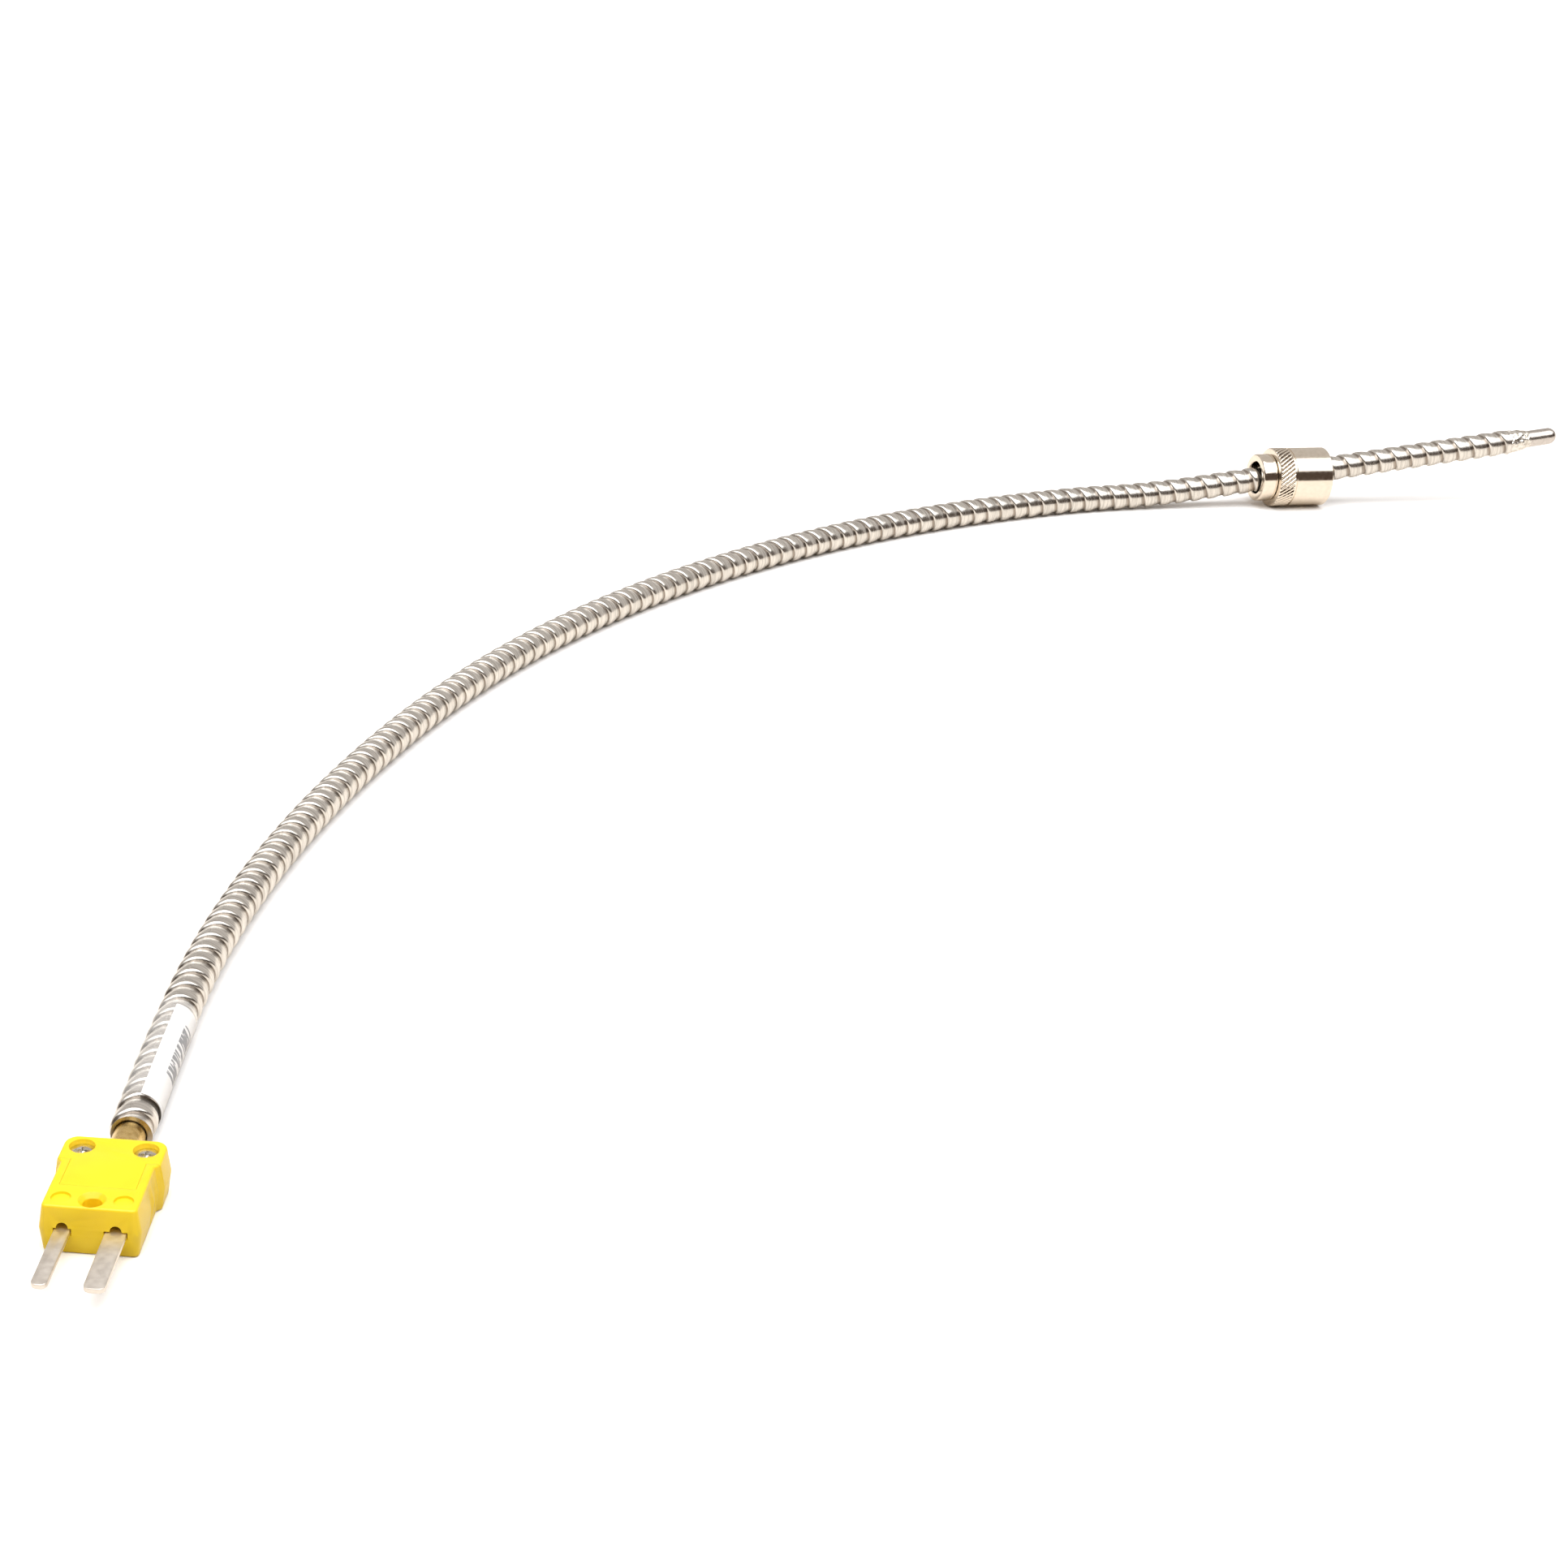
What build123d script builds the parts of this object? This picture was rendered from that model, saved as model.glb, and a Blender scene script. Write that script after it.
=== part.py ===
from build123d import *
import math
import os

os.makedirs("parts", exist_ok=True)

# An armoured bayonet thermocouple lying on a bench.  Millimetres and degrees.
# The origin is the centre of the bayonet cap's open mouth, +X runs along the cap
# towards the probe tip and +Z is up, so the bench is half a cap below the origin.

# --- bayonet cap ---------------------------------------------------------------------
cap_od = 16.6
cap_bore = 13.2
shell_length = 15.6
knurl_length = 4.4
knurl_groove_width = 0.5
knurl_groove_depth = 0.35
shell_back_wall = 1.5
edge_break = 0.3

collar_od = 13.3
collar_end = -19.9
neck_od = 11.6
neck_end = -11.6
collar_bore = 9.1
fit_clearance = 0.05
face_gap = 0.15
ring_groove_depth = 0.45
ring_groove_width = 0.8
ring_thickness = 0.7
ring_od = 12.8
ring_gap = 1.6
washer_thickness = 0.9
washer_od = 12.8

slot_width = 3.2
slot_depth = 6.6
slot_turn = 48.0
slot_notch = 1.2
slot_side = -18.0

bench = -cap_od / 2

# --- strip-wound armour ----------------------------------------------------------------
hose_od = 7.1
hose_id = 5.2
hose_flat_z = bench + hose_od / 2

# --- straight probe, which climbs through the cap at a small angle -----------------------
probe_tilt = 7.5
probe_cross_x = -15.0
probe_seam_x = -38.0
braze_start = 70.6
braze_end = 76.6
braze_od = 6.6
braze_overlap = 3.6
tip_end = 85.4
tip_od = 4.76
tip_wall = 0.45
tip_tail = 64.0
tip_tail_step = 0.2

# --- thermocouple wires --------------------------------------------------------------------
wire_d = 0.8
insulation_od = 1.7
insulation_id = 0.84
wire_lift = 0.9
insulation_end = 58.0
ceramic_start = 60.0
ceramic_end = 79.6
ceramic_od = 3.6
ceramic_hole = 0.9
bead_start = 80.4
bead_length = 1.6
bead_od = 2.9

# --- miniature plug --------------------------------------------------------------------------
plug_front = (-348.48, -350.82, bench)
plug_heading = 76.95
plug_length = 20.6
plug_height = 8.0
front_half_width = 7.65
rear_half_width = 8.4
shoulder_y = 12.5
side_draft = 8.0
plug_corner_r = 1.3
plug_edge_r = 0.45
cover_split_z = plug_height / 2
cover_front_y = 13.4
tongue_half_width = 5.75
tongue_front_y = 6.2
tongue_z = 6.6
cover_gap = 0.05

cavity_front_y = 6.6
cavity_floor_z = 1.9
rib_half_width = 0.9
rib_rear_y = 12.0
lead_way_half_width = 2.8
lead_way_rear_y = 16.6
lead_way_roof_z = 6.0

hang_hole_y = 2.8
hang_hole_d = 2.9
hang_hole_sink_d = 4.2
dimple_spot = (4.65, 2.9)
dimple_d = 3.0
dimple_depth = 0.4
grip_rows = (8.4, 10.9)
grip_r = 1.5
grip_depth = 0.55

screw_spot = (4.9, 17.1)
screw_sink_d = 4.0
screw_seat_z = 5.9
screw_head_d = 3.8
screw_head_height = 1.3
screw_shank_d = 2.0
screw_hole_d = 2.2
screw_tip_z = 0.7
cross_length = 2.3
cross_width = 0.55
cross_depth = 0.8
nut_flats = 4.0
nut_pocket_flats = 4.1
nut_top_z = 2.2
nut_thickness = 1.5

pin_spacing = 7.92
pin_positive_width = 2.39
pin_negative_width = 3.18
pin_thickness = 0.8
pin_reach = 13.9
pin_bottom_z = 3.5
pin_tip_r = 1.0
pin_slot_height = 1.2
pin_slot_spare = 0.35
pin_slot_bump_r = 0.9
block_front_y = 6.8
block_rear_y = 12.0
block_half_width = 1.75
terminal_y = 9.4
terminal_screw_d = 1.96
terminal_hole_d = 2.0
terminal_head_d = 3.2
terminal_head_height = 0.9
terminal_washer_d = 3.4
terminal_washer_thickness = 0.4
terminal_tip_z = 2.1

# --- brass adapter between the plug and the armour --------------------------------------------
adapter_od = 5.0
adapter_id = 4.0
adapter_front_y = 16.7
adapter_rear_y = 30.5
adapter_flange_od = 6.4
adapter_flange_length = 1.2
adapter_channel_spare = 0.1
hose_end_y = 27.5

# --- label and clear sleeve round the armour ---------------------------------------------------
sleeve_id = 7.5
sleeve_od = 8.0
sleeve_start = 7.0
sleeve_length = 31.0
label_start = 6.8
label_length = 29.7
label_inner_r = 3.6
label_thickness = 0.1
label_from = -150.0
label_to = -7.0


# --- placing planes ---------------------------------------------------------------------------
tilt = math.radians(probe_tilt)
probe_direction = Vector(math.cos(tilt), 0, math.sin(tilt))
probe_normal = Vector(-math.sin(tilt), 0, math.cos(tilt))
probe_cross = Vector(probe_cross_x, 0, 0)
probe_axis = Axis(probe_cross, probe_direction)
probe_seam = (probe_seam_x - probe_cross_x) / math.cos(tilt)

# x along the probe, y outwards from its axis
probe_section = Plane(origin=probe_cross, x_dir=probe_direction, z_dir=(0, -1, 0))

heading = math.radians(plug_heading)
plug_rearward = Vector(math.cos(heading), math.sin(heading), 0)
plug_right = Vector(math.sin(heading), -math.cos(heading), 0)
plug_plane = Plane(origin=plug_front, x_dir=plug_right, z_dir=(0, 0, 1))


def probe_across(distance):
    """Plane square to the probe, at a distance along it from where it crosses the cap."""
    origin = probe_cross + probe_direction * distance
    return Plane(origin=origin, x_dir=(0, 1, 0), z_dir=probe_direction)


def plug_point(x, y, z):
    """Point in the plug: x to its right, y back from the front face, z up from the bench."""
    return plug_plane.from_local_coords(Vector(x, y, z))


def plug_across(y):
    """Plane square to the plug, facing its pins, at a distance behind the front face."""
    return Plane(origin=plug_point(0, y, 0), x_dir=plug_right, z_dir=-plug_rearward)


# --- route of the armour from the probe to the plug ---------------------------------------------
# Chosen by hand: the corners of the bow in which the armour lies on the bench.
bench_corners = [
    (-76.5, -2.9),
    (-116.0, -15.0),
    (-154.0, -33.0),
    (-190.0, -56.5),
    (-223.0, -84.5),
    (-252.0, -116.0),
    (-276.5, -150.3),
    (-297.0, -186.0),
    (-314.0, -222.5),
]
sleeve_corners = [
    (-326.8, -258.0),
    (-335.6, -291.5),
]
corner_share = 0.45

hose_plug_z = plug_height / 2
route = [probe_cross + probe_direction * probe_seam]
touch_down = hose_flat_z / math.sin(tilt)
route.append(probe_cross + probe_direction * touch_down)
route += [Vector(x, y, hose_flat_z) for x, y in bench_corners]
route += [Vector(x, y, bench + hose_plug_z) for x, y in sleeve_corners]
route.append(plug_point(0, hose_end_y, hose_plug_z))


def corner_radii(points):
    """Largest smooth arc for each corner of a route of straight runs."""
    radii = []
    for before, corner, after in zip(points, points[1:], points[2:]):
        run_in = corner - before
        run_out = after - corner
        half_turn = math.radians(run_in.get_angle(run_out)) / 2
        shorter = min(run_in.length, run_out.length)
        radii.append(corner_share * shorter / math.tan(half_turn))
    return radii


route_radii = corner_radii(route)
print("armour corner radii, mm:", [round(radius, 1) for radius in route_radii])

with BuildLine() as armour_line:
    FilletPolyline(*route, radius=route_radii)
armour_path = armour_line.wire()


def path_start(path):
    """Plane square to a path at its start."""
    return Plane(origin=path @ 0, z_dir=path % 0)


# --- armour -------------------------------------------------------------------------------------
with BuildPart() as armour_lead:
    with BuildSketch(path_start(armour_path)):
        Circle(hose_od / 2)
        Circle(hose_id / 2, mode=Mode.SUBTRACT)
    sweep(path=armour_path)
armour_lead.part.label = "armour_lead"

hose_section = math.pi / 4 * (hose_od**2 - hose_id**2)
volume_ratio = armour_lead.part.volume / (hose_section * armour_path.length)
print("armour lead length, mm:", round(armour_path.length, 1), "volume ratio:", round(volume_ratio, 4))

with BuildPart() as probe_armour:
    with BuildSketch(probe_across(probe_seam)):
        Circle(hose_od / 2)
        Circle(hose_id / 2, mode=Mode.SUBTRACT)
    extrude(amount=braze_start - probe_seam)
probe_armour.part.label = "probe_armour"


# --- probe tip ------------------------------------------------------------------------------------
tip_r = tip_od / 2
tip_inner_r = tip_r - tip_wall
tail_r = tip_r - tip_tail_step
dome_start = tip_end - tip_r
with BuildPart() as probe_tip:
    with BuildSketch(probe_section):
        with BuildLine():
            Polyline(
                (tip_tail, tip_inner_r),
                (tip_tail, tail_r),
                (braze_end, tail_r),
                (braze_end, tip_r),
                (dome_start, tip_r),
            )
            RadiusArc((dome_start, tip_r), (tip_end, 0), tip_r)
            Line((tip_end, 0), (tip_end - tip_wall, 0))
            RadiusArc((tip_end - tip_wall, 0), (dome_start, tip_inner_r), -tip_inner_r)
            Line((dome_start, tip_inner_r), (tip_tail, tip_inner_r))
        make_face()
    revolve(axis=probe_axis)
probe_tip.part.label = "probe_tip"

with BuildPart() as probe_braze:
    with BuildSketch(probe_section):
        with BuildLine():
            Polyline(
                (braze_start - braze_overlap, tail_r),
                (braze_start - braze_overlap, hose_id / 2),
                (braze_start, hose_id / 2),
                (braze_start, braze_od / 2),
                (braze_start + 1.4, braze_od / 2 - 0.1),
                (braze_end - 1.8, tip_r + 0.35),
                (braze_end, tip_r + 0.08),
                (braze_end, tail_r),
                close=True,
            )
        make_face()
    revolve(axis=probe_axis)
probe_braze.part.label = "probe_braze"

wire_offset = wire_lift * math.cos(tilt)
with BuildPart() as tip_insulator:
    with BuildSketch(probe_across(ceramic_start)):
        Circle(ceramic_od / 2)
        with Locations((0, wire_offset), (0, -wire_offset)):
            Circle(ceramic_hole / 2, mode=Mode.SUBTRACT)
    extrude(amount=ceramic_end - ceramic_start)
tip_insulator.part.label = "tip_insulator"

with BuildPart() as junction_bead:
    with BuildSketch(probe_across(bead_start)):
        Circle(bead_od / 2)
    extrude(amount=bead_length)
    fillet(junction_bead.edges().sort_by(probe_axis)[-1], radius=bead_length / 2)
junction_bead.part.label = "junction_bead"


# --- wires ------------------------------------------------------------------------------------------
wire_beside_screw = pin_spacing / 2 - terminal_screw_d / 2 - wire_d / 2 - 0.02
wire_in_clamp_z = pin_bottom_z + pin_thickness + wire_d / 2
wire_end_y = 7.4
wire_bend_y = 12.4
wire_bend_r = 2.0
insulation_trim = 6.0


def conductor_path(side):
    """One wire from its terminal to the junction: side +1 runs above the other."""
    lift = Vector(0, 0, side * wire_lift)
    x = -side * wire_beside_screw
    points = [
        plug_point(x, wire_end_y, wire_in_clamp_z),
        plug_point(x, wire_bend_y, wire_in_clamp_z),
        plug_point(0, lead_way_rear_y - 0.2, hose_plug_z) + lift,
    ]
    points += [corner + lift for corner in reversed(route[1:-1])]
    points.append(probe_cross + probe_direction * bead_start + probe_normal * (side * wire_offset))
    with BuildLine() as line:
        FilletPolyline(*points, radius=[wire_bend_r, wire_bend_r] + route_radii[::-1])
    return line.wire()


def make_conductor(side, label):
    path = conductor_path(side)
    with BuildPart() as conductor:
        with BuildSketch(path_start(path)):
            Circle(wire_d / 2)
        sweep(path=path)
    conductor.part.label = label
    return conductor.part


def make_insulation(side, label):
    whole = conductor_path(side)
    end_share = 1 - (bead_start - insulation_end) / whole.length
    path = whole.trim(insulation_trim / whole.length, end_share)
    with BuildPart() as insulation:
        with BuildSketch(path_start(path)):
            Circle(insulation_od / 2)
            Circle(insulation_id / 2, mode=Mode.SUBTRACT)
        sweep(path=path)
    insulation.part.label = label
    return insulation.part


wires = [
    make_conductor(1, "conductor_positive"),
    make_conductor(-1, "conductor_negative"),
    make_insulation(1, "insulation_positive"),
    make_insulation(-1, "insulation_negative"),
]


# --- label and sleeve --------------------------------------------------------------------------------
def armour_stretch(start, length):
    """Stretch of the armour's path, with its start measured from the plug end."""
    total = armour_path.length
    return armour_path.trim(1 - (start + length) / total, 1 - start / total)


with BuildPart() as heat_shrink_sleeve:
    sleeve_path = armour_stretch(sleeve_start, sleeve_length)
    with BuildSketch(path_start(sleeve_path)):
        Circle(sleeve_od / 2)
        Circle(sleeve_id / 2, mode=Mode.SUBTRACT)
    sweep(path=sleeve_path)
heat_shrink_sleeve.part.label = "heat_shrink_sleeve"

with BuildPart() as wire_label:
    label_path = armour_stretch(label_start, label_length)
    label_plane = Plane(origin=label_path @ 0, x_dir=(0, 0, 1), z_dir=label_path % 0)
    with BuildSketch(label_plane):
        label_outer_r = label_inner_r + label_thickness
        label_arc = label_to - label_from
        with BuildLine():
            inner = CenterArc((0, 0), label_inner_r, label_from, label_arc)
            outer = CenterArc((0, 0), label_outer_r, label_from, label_arc)
            Line(inner @ 0, outer @ 0)
            Line(inner @ 1, outer @ 1)
        make_face()
    sweep(path=label_path)
wire_label.part.label = "wire_label"


# --- bayonet cap ---------------------------------------------------------------------------------------
cap_r = cap_od / 2
groove_front = knurl_length - shell_length + knurl_groove_width
groove_back = knurl_length - shell_length
wall_face = shell_back_wall - shell_length
neck_r = neck_od / 2
with BuildPart() as cap_shell:
    with BuildSketch(Plane.XZ):
        with BuildLine():
            Polyline(
                (0, cap_bore / 2 + edge_break),
                (0, cap_r - edge_break),
                (-edge_break, cap_r),
                (groove_front, cap_r),
                (groove_front, cap_r - knurl_groove_depth),
                (groove_back, cap_r - knurl_groove_depth),
                (groove_back, cap_r),
                (edge_break - shell_length, cap_r),
                (-shell_length, cap_r - edge_break),
                (-shell_length, neck_r + fit_clearance),
                (wall_face, neck_r + fit_clearance),
                (wall_face, cap_bore / 2),
                (-edge_break, cap_bore / 2),
                close=True,
            )
        make_face()
    revolve(axis=Axis.X)
    # bayonet slot: straight in from the mouth, round the shell, then a notch back for the pin
    slot_plane = Plane(origin=(0, 0, 0), x_dir=(1, 0, 0), z_dir=(0, 1, 0)).rotated((slot_side, 0, 0))
    with BuildSketch(slot_plane):
        with Locations((-slot_depth + slot_width / 2, 0)):
            SlotCenterToCenter(2 * slot_depth, slot_width)
    extrude(amount=cap_od, mode=Mode.SUBTRACT)
    turn_plane = Plane(origin=(0, 0, 0), x_dir=(1, 0, 0), z_dir=(0, 0, 1)).rotated((slot_side, 0, 0))
    with BuildSketch(turn_plane):
        with Locations((-slot_depth + slot_width / 2, cap_r)):
            Rectangle(slot_width, cap_r)
    revolve(axis=Axis.X, revolution_arc=slot_turn, mode=Mode.SUBTRACT)
    notch_plane = slot_plane.rotated((slot_turn, 0, 0))
    with BuildSketch(notch_plane):
        with Locations((-slot_depth + slot_width / 2 + slot_notch / 2, 0)):
            SlotCenterToCenter(slot_notch, slot_width)
    extrude(amount=cap_od, mode=Mode.SUBTRACT)
cap_shell.part.label = "cap_shell"

head_face = -shell_length - face_gap
groove_near = wall_face + fit_clearance + washer_thickness + fit_clearance
groove_far = groove_near + ring_groove_width
with BuildPart() as cap_collar:
    with BuildSketch(Plane.XZ):
        with BuildLine():
            Polyline(
                (collar_end, collar_bore / 2),
                (collar_end, collar_od / 2 - edge_break),
                (collar_end + edge_break, collar_od / 2),
                (head_face - edge_break, collar_od / 2),
                (head_face, collar_od / 2 - edge_break),
                (head_face, neck_r),
                (groove_near, neck_r),
                (groove_near, neck_r - ring_groove_depth),
                (groove_far, neck_r - ring_groove_depth),
                (groove_far, neck_r),
                (neck_end, neck_r),
                (neck_end, collar_bore / 2),
                close=True,
            )
        make_face()
    revolve(axis=Axis.X)
cap_collar.part.label = "cap_collar"

with BuildPart() as thrust_washer:
    with BuildSketch(Plane.YZ.offset(wall_face + fit_clearance)):
        Circle(washer_od / 2)
        Circle(neck_r + 2 * fit_clearance, mode=Mode.SUBTRACT)
    extrude(amount=washer_thickness)
thrust_washer.part.label = "thrust_washer"

with BuildPart() as snap_ring:
    with BuildSketch(Plane.YZ.offset(groove_near + fit_clearance)):
        Circle(ring_od / 2)
        Circle(neck_r - ring_groove_depth + fit_clearance, mode=Mode.SUBTRACT)
        with Locations((0, -ring_od / 2)):
            Rectangle(ring_gap, ring_od / 2, mode=Mode.SUBTRACT)
    extrude(amount=ring_thickness)
snap_ring.part.label = "snap_ring"


# --- plug housing ---------------------------------------------------------------------------------------
with BuildPart() as plug_blank:
    with BuildSketch(plug_plane.offset(plug_height / 2)) as plug_plan:
        with BuildLine():
            Polyline(
                (-front_half_width, 0),
                (front_half_width, 0),
                (front_half_width, shoulder_y),
                (rear_half_width, cover_front_y),
                (rear_half_width, plug_length),
                (-rear_half_width, plug_length),
                (-rear_half_width, cover_front_y),
                (-front_half_width, shoulder_y),
                close=True,
            )
        make_face()
        fillet(plug_plan.vertices().group_by(Axis.Y)[0], radius=plug_corner_r)
        fillet(plug_plan.vertices().group_by(Axis.Y)[-1], radius=2 * plug_corner_r)
    extrude(amount=plug_height / 2, taper=side_draft)
    extrude(plug_plan.sketch, amount=-plug_height / 2, taper=side_draft)
    fillet(plug_blank.faces().sort_by(Axis.Z)[-1].edges(), radius=plug_edge_r)
    fillet(plug_blank.faces().sort_by(Axis.Z)[0].edges(), radius=plug_edge_r)

channel_r = adapter_od / 2 + adapter_channel_spare
flange_channel_r = adapter_flange_od / 2 + adapter_channel_spare
flange_front = adapter_front_y - adapter_channel_spare
flange_rear = adapter_front_y + adapter_flange_length + adapter_channel_spare
pins = (
    (-pin_spacing / 2, pin_positive_width),
    (pin_spacing / 2, pin_negative_width),
)
screw_spots = [(-screw_spot[0], screw_spot[1]), screw_spot]
terminal_spots = [(x, terminal_y) for x, width in pins]


# round way for the brass adapter and its flange, split between the body and the cover
with BuildPart() as adapter_channel:
    with BuildSketch(plug_across(plug_length + 1)):
        with Locations((0, hose_plug_z)):
            Circle(channel_r)
    extrude(amount=plug_length + 1 - adapter_front_y)
    with BuildSketch(plug_across(flange_rear)):
        with Locations((0, hose_plug_z)):
            Circle(flange_channel_r)
    extrude(amount=flange_rear - flange_front)

with BuildPart() as plug_body:
    add(plug_blank.part)
    # room for the cover: its rear block and its tongue
    with BuildSketch(plug_plane.offset(cover_split_z)):
        with Locations((0, cover_front_y)):
            Rectangle(4 * rear_half_width, plug_length, align=(Align.CENTER, Align.MIN))
    extrude(amount=plug_height, mode=Mode.SUBTRACT)
    with BuildSketch(plug_plane.offset(tongue_z)):
        with Locations((0, tongue_front_y)):
            Rectangle(2 * tongue_half_width, plug_length, align=(Align.CENTER, Align.MIN))
    extrude(amount=plug_height, mode=Mode.SUBTRACT)
    # terminal chamber with a rib between the two terminals, and the way in for the wires
    with BuildSketch(plug_plane.offset(cavity_floor_z)):
        with Locations((0, cavity_front_y)):
            Rectangle(
                2 * tongue_half_width, cover_front_y - cavity_front_y, align=(Align.CENTER, Align.MIN)
            )
            Rectangle(
                2 * rib_half_width,
                rib_rear_y - cavity_front_y,
                align=(Align.CENTER, Align.MIN),
                mode=Mode.SUBTRACT,
            )
        with Locations((0, cavity_front_y + 6)):
            Rectangle(
                2 * lead_way_half_width,
                lead_way_rear_y - cavity_front_y - 6,
                align=(Align.CENTER, Align.MIN),
            )
    extrude(amount=plug_height, mode=Mode.SUBTRACT)
    add(adapter_channel.part, mode=Mode.SUBTRACT)
    # slots for the two blades, each with a round relief above the flat
    for x, width in pins:
        slot_bottom = pin_bottom_z - (pin_slot_height - pin_thickness) / 2
        with BuildSketch(plug_across(0)):
            with Locations((x, slot_bottom + pin_slot_height / 2)):
                Rectangle(width + pin_slot_spare, pin_slot_height)
            with Locations((x, slot_bottom + pin_slot_height)):
                Circle(pin_slot_bump_r)
        extrude(amount=-cavity_front_y, mode=Mode.SUBTRACT)
    # hanging hole, moulded dimples and side grips
    with Locations(plug_plane.offset(plug_height)):
        with Locations((0, hang_hole_y)):
            CounterSinkHole(hang_hole_d / 2, hang_hole_sink_d / 2)
    with BuildSketch(plug_plane.offset(plug_height)):
        with Locations((-dimple_spot[0], dimple_spot[1]), dimple_spot):
            Circle(dimple_d / 2)
    extrude(amount=-dimple_depth, mode=Mode.SUBTRACT)
    grip_x = front_half_width + grip_r - grip_depth
    with BuildSketch(plug_plane):
        with Locations([(side * grip_x, y) for side in (-1, 1) for y in grip_rows]):
            Circle(grip_r)
    extrude(amount=plug_height, mode=Mode.SUBTRACT)
    # cover screws and their captive nuts
    with BuildSketch(plug_plane):
        with Locations(*screw_spots):
            Circle(screw_hole_d / 2)
    extrude(amount=plug_height, mode=Mode.SUBTRACT)
    with BuildSketch(plug_plane):
        with Locations(*screw_spots):
            RegularPolygon(nut_pocket_flats / 2, 6, major_radius=False)
    extrude(amount=nut_top_z, mode=Mode.SUBTRACT)
plug_body.part.label = "plug_body"

with BuildPart() as plug_cover:
    with BuildSketch(plug_plane.offset(cover_split_z + cover_gap)):
        with Locations((0, cover_front_y + cover_gap)):
            Rectangle(4 * rear_half_width, plug_length, align=(Align.CENTER, Align.MIN))
    extrude(amount=plug_height)
    with BuildSketch(plug_plane.offset(tongue_z + cover_gap)):
        with Locations((0, tongue_front_y + cover_gap)):
            Rectangle(
                2 * (tongue_half_width - cover_gap), plug_length, align=(Align.CENTER, Align.MIN)
            )
    extrude(amount=plug_height / 2)
    add(plug_blank.part, mode=Mode.INTERSECT)
    with BuildSketch(plug_plane.offset(cover_split_z)):
        with Locations((0, cover_front_y)):
            Rectangle(
                2 * lead_way_half_width,
                lead_way_rear_y - cover_front_y,
                align=(Align.CENTER, Align.MIN),
            )
    extrude(amount=lead_way_roof_z - cover_split_z, mode=Mode.SUBTRACT)
    add(adapter_channel.part, mode=Mode.SUBTRACT)
    with BuildSketch(plug_plane):
        with Locations(*screw_spots):
            Circle(screw_hole_d / 2)
    extrude(amount=plug_height, mode=Mode.SUBTRACT)
    with BuildSketch(plug_plane.offset(screw_seat_z)):
        with Locations(*screw_spots):
            Circle(screw_sink_d / 2)
    extrude(amount=plug_height, mode=Mode.SUBTRACT)
plug_cover.part.label = "plug_cover"


# --- plug screws and nuts ----------------------------------------------------------------------------------
def make_screws(label, spots, seat_z, head_d, head_height, shank_d, tip_z):
    """Cross-head screws standing upright in the plug, one separate solid at each spot."""
    with BuildPart() as screws:
        with BuildSketch(plug_plane.offset(seat_z)):
            with Locations(*spots):
                Circle(head_d / 2)
        extrude(amount=head_height)
        with BuildSketch(plug_plane.offset(seat_z)):
            with Locations(*spots):
                Circle(shank_d / 2)
        extrude(amount=tip_z - seat_z)
        with BuildSketch(plug_plane.offset(seat_z + head_height)):
            with Locations(*spots):
                Rectangle(cross_length, cross_width)
                Rectangle(cross_width, cross_length)
        extrude(amount=-cross_depth, mode=Mode.SUBTRACT)
    screws.part.label = label
    return screws.part


cover_screws = make_screws(
    "cover_screws", screw_spots, screw_seat_z, screw_head_d, screw_head_height, screw_shank_d, screw_tip_z
)
washer_bottom_z = wire_in_clamp_z + wire_d / 2
terminal_seat_z = washer_bottom_z + terminal_washer_thickness
terminal_screws = make_screws(
    "terminal_screws",
    terminal_spots,
    terminal_seat_z,
    terminal_head_d,
    terminal_head_height,
    terminal_screw_d,
    terminal_tip_z,
)

with BuildPart() as terminal_washers:
    with BuildSketch(plug_plane.offset(washer_bottom_z)):
        with Locations(*terminal_spots):
            Circle(terminal_washer_d / 2)
            Circle(terminal_hole_d / 2, mode=Mode.SUBTRACT)
    extrude(amount=terminal_washer_thickness)
terminal_washers.part.label = "terminal_washers"

with BuildPart() as cover_nuts:
    with BuildSketch(plug_plane.offset(nut_top_z)):
        with Locations(*screw_spots):
            RegularPolygon(nut_flats / 2, 6, major_radius=False)
            Circle(screw_shank_d / 2, mode=Mode.SUBTRACT)
    extrude(amount=-nut_thickness)
cover_nuts.part.label = "cover_nuts"


# --- plug pins ------------------------------------------------------------------------------------------------
def make_pin(x, width, label):
    """Flat blade with a tapped terminal block at its inner end."""
    with BuildPart() as pin:
        with BuildSketch(plug_plane.offset(pin_bottom_z)) as blade:
            with Locations((x, -pin_reach)):
                Rectangle(width, pin_reach + block_front_y + 1, align=(Align.CENTER, Align.MIN))
            fillet(blade.vertices().group_by(Axis.Y)[0], radius=pin_tip_r)
        extrude(amount=pin_thickness)
        with BuildSketch(plug_plane.offset(cavity_floor_z)):
            with Locations((x, block_front_y)):
                Rectangle(
                    2 * block_half_width, block_rear_y - block_front_y, align=(Align.CENTER, Align.MIN)
                )
        extrude(amount=pin_bottom_z + pin_thickness - cavity_floor_z)
        with BuildSketch(plug_plane.offset(cavity_floor_z)):
            with Locations((x, terminal_y)):
                Circle(terminal_hole_d / 2)
        extrude(amount=plug_height, mode=Mode.SUBTRACT)
    pin.part.label = label
    return pin.part


pin_positive = make_pin(*pins[0], "pin_positive")
pin_negative = make_pin(*pins[1], "pin_negative")


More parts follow.
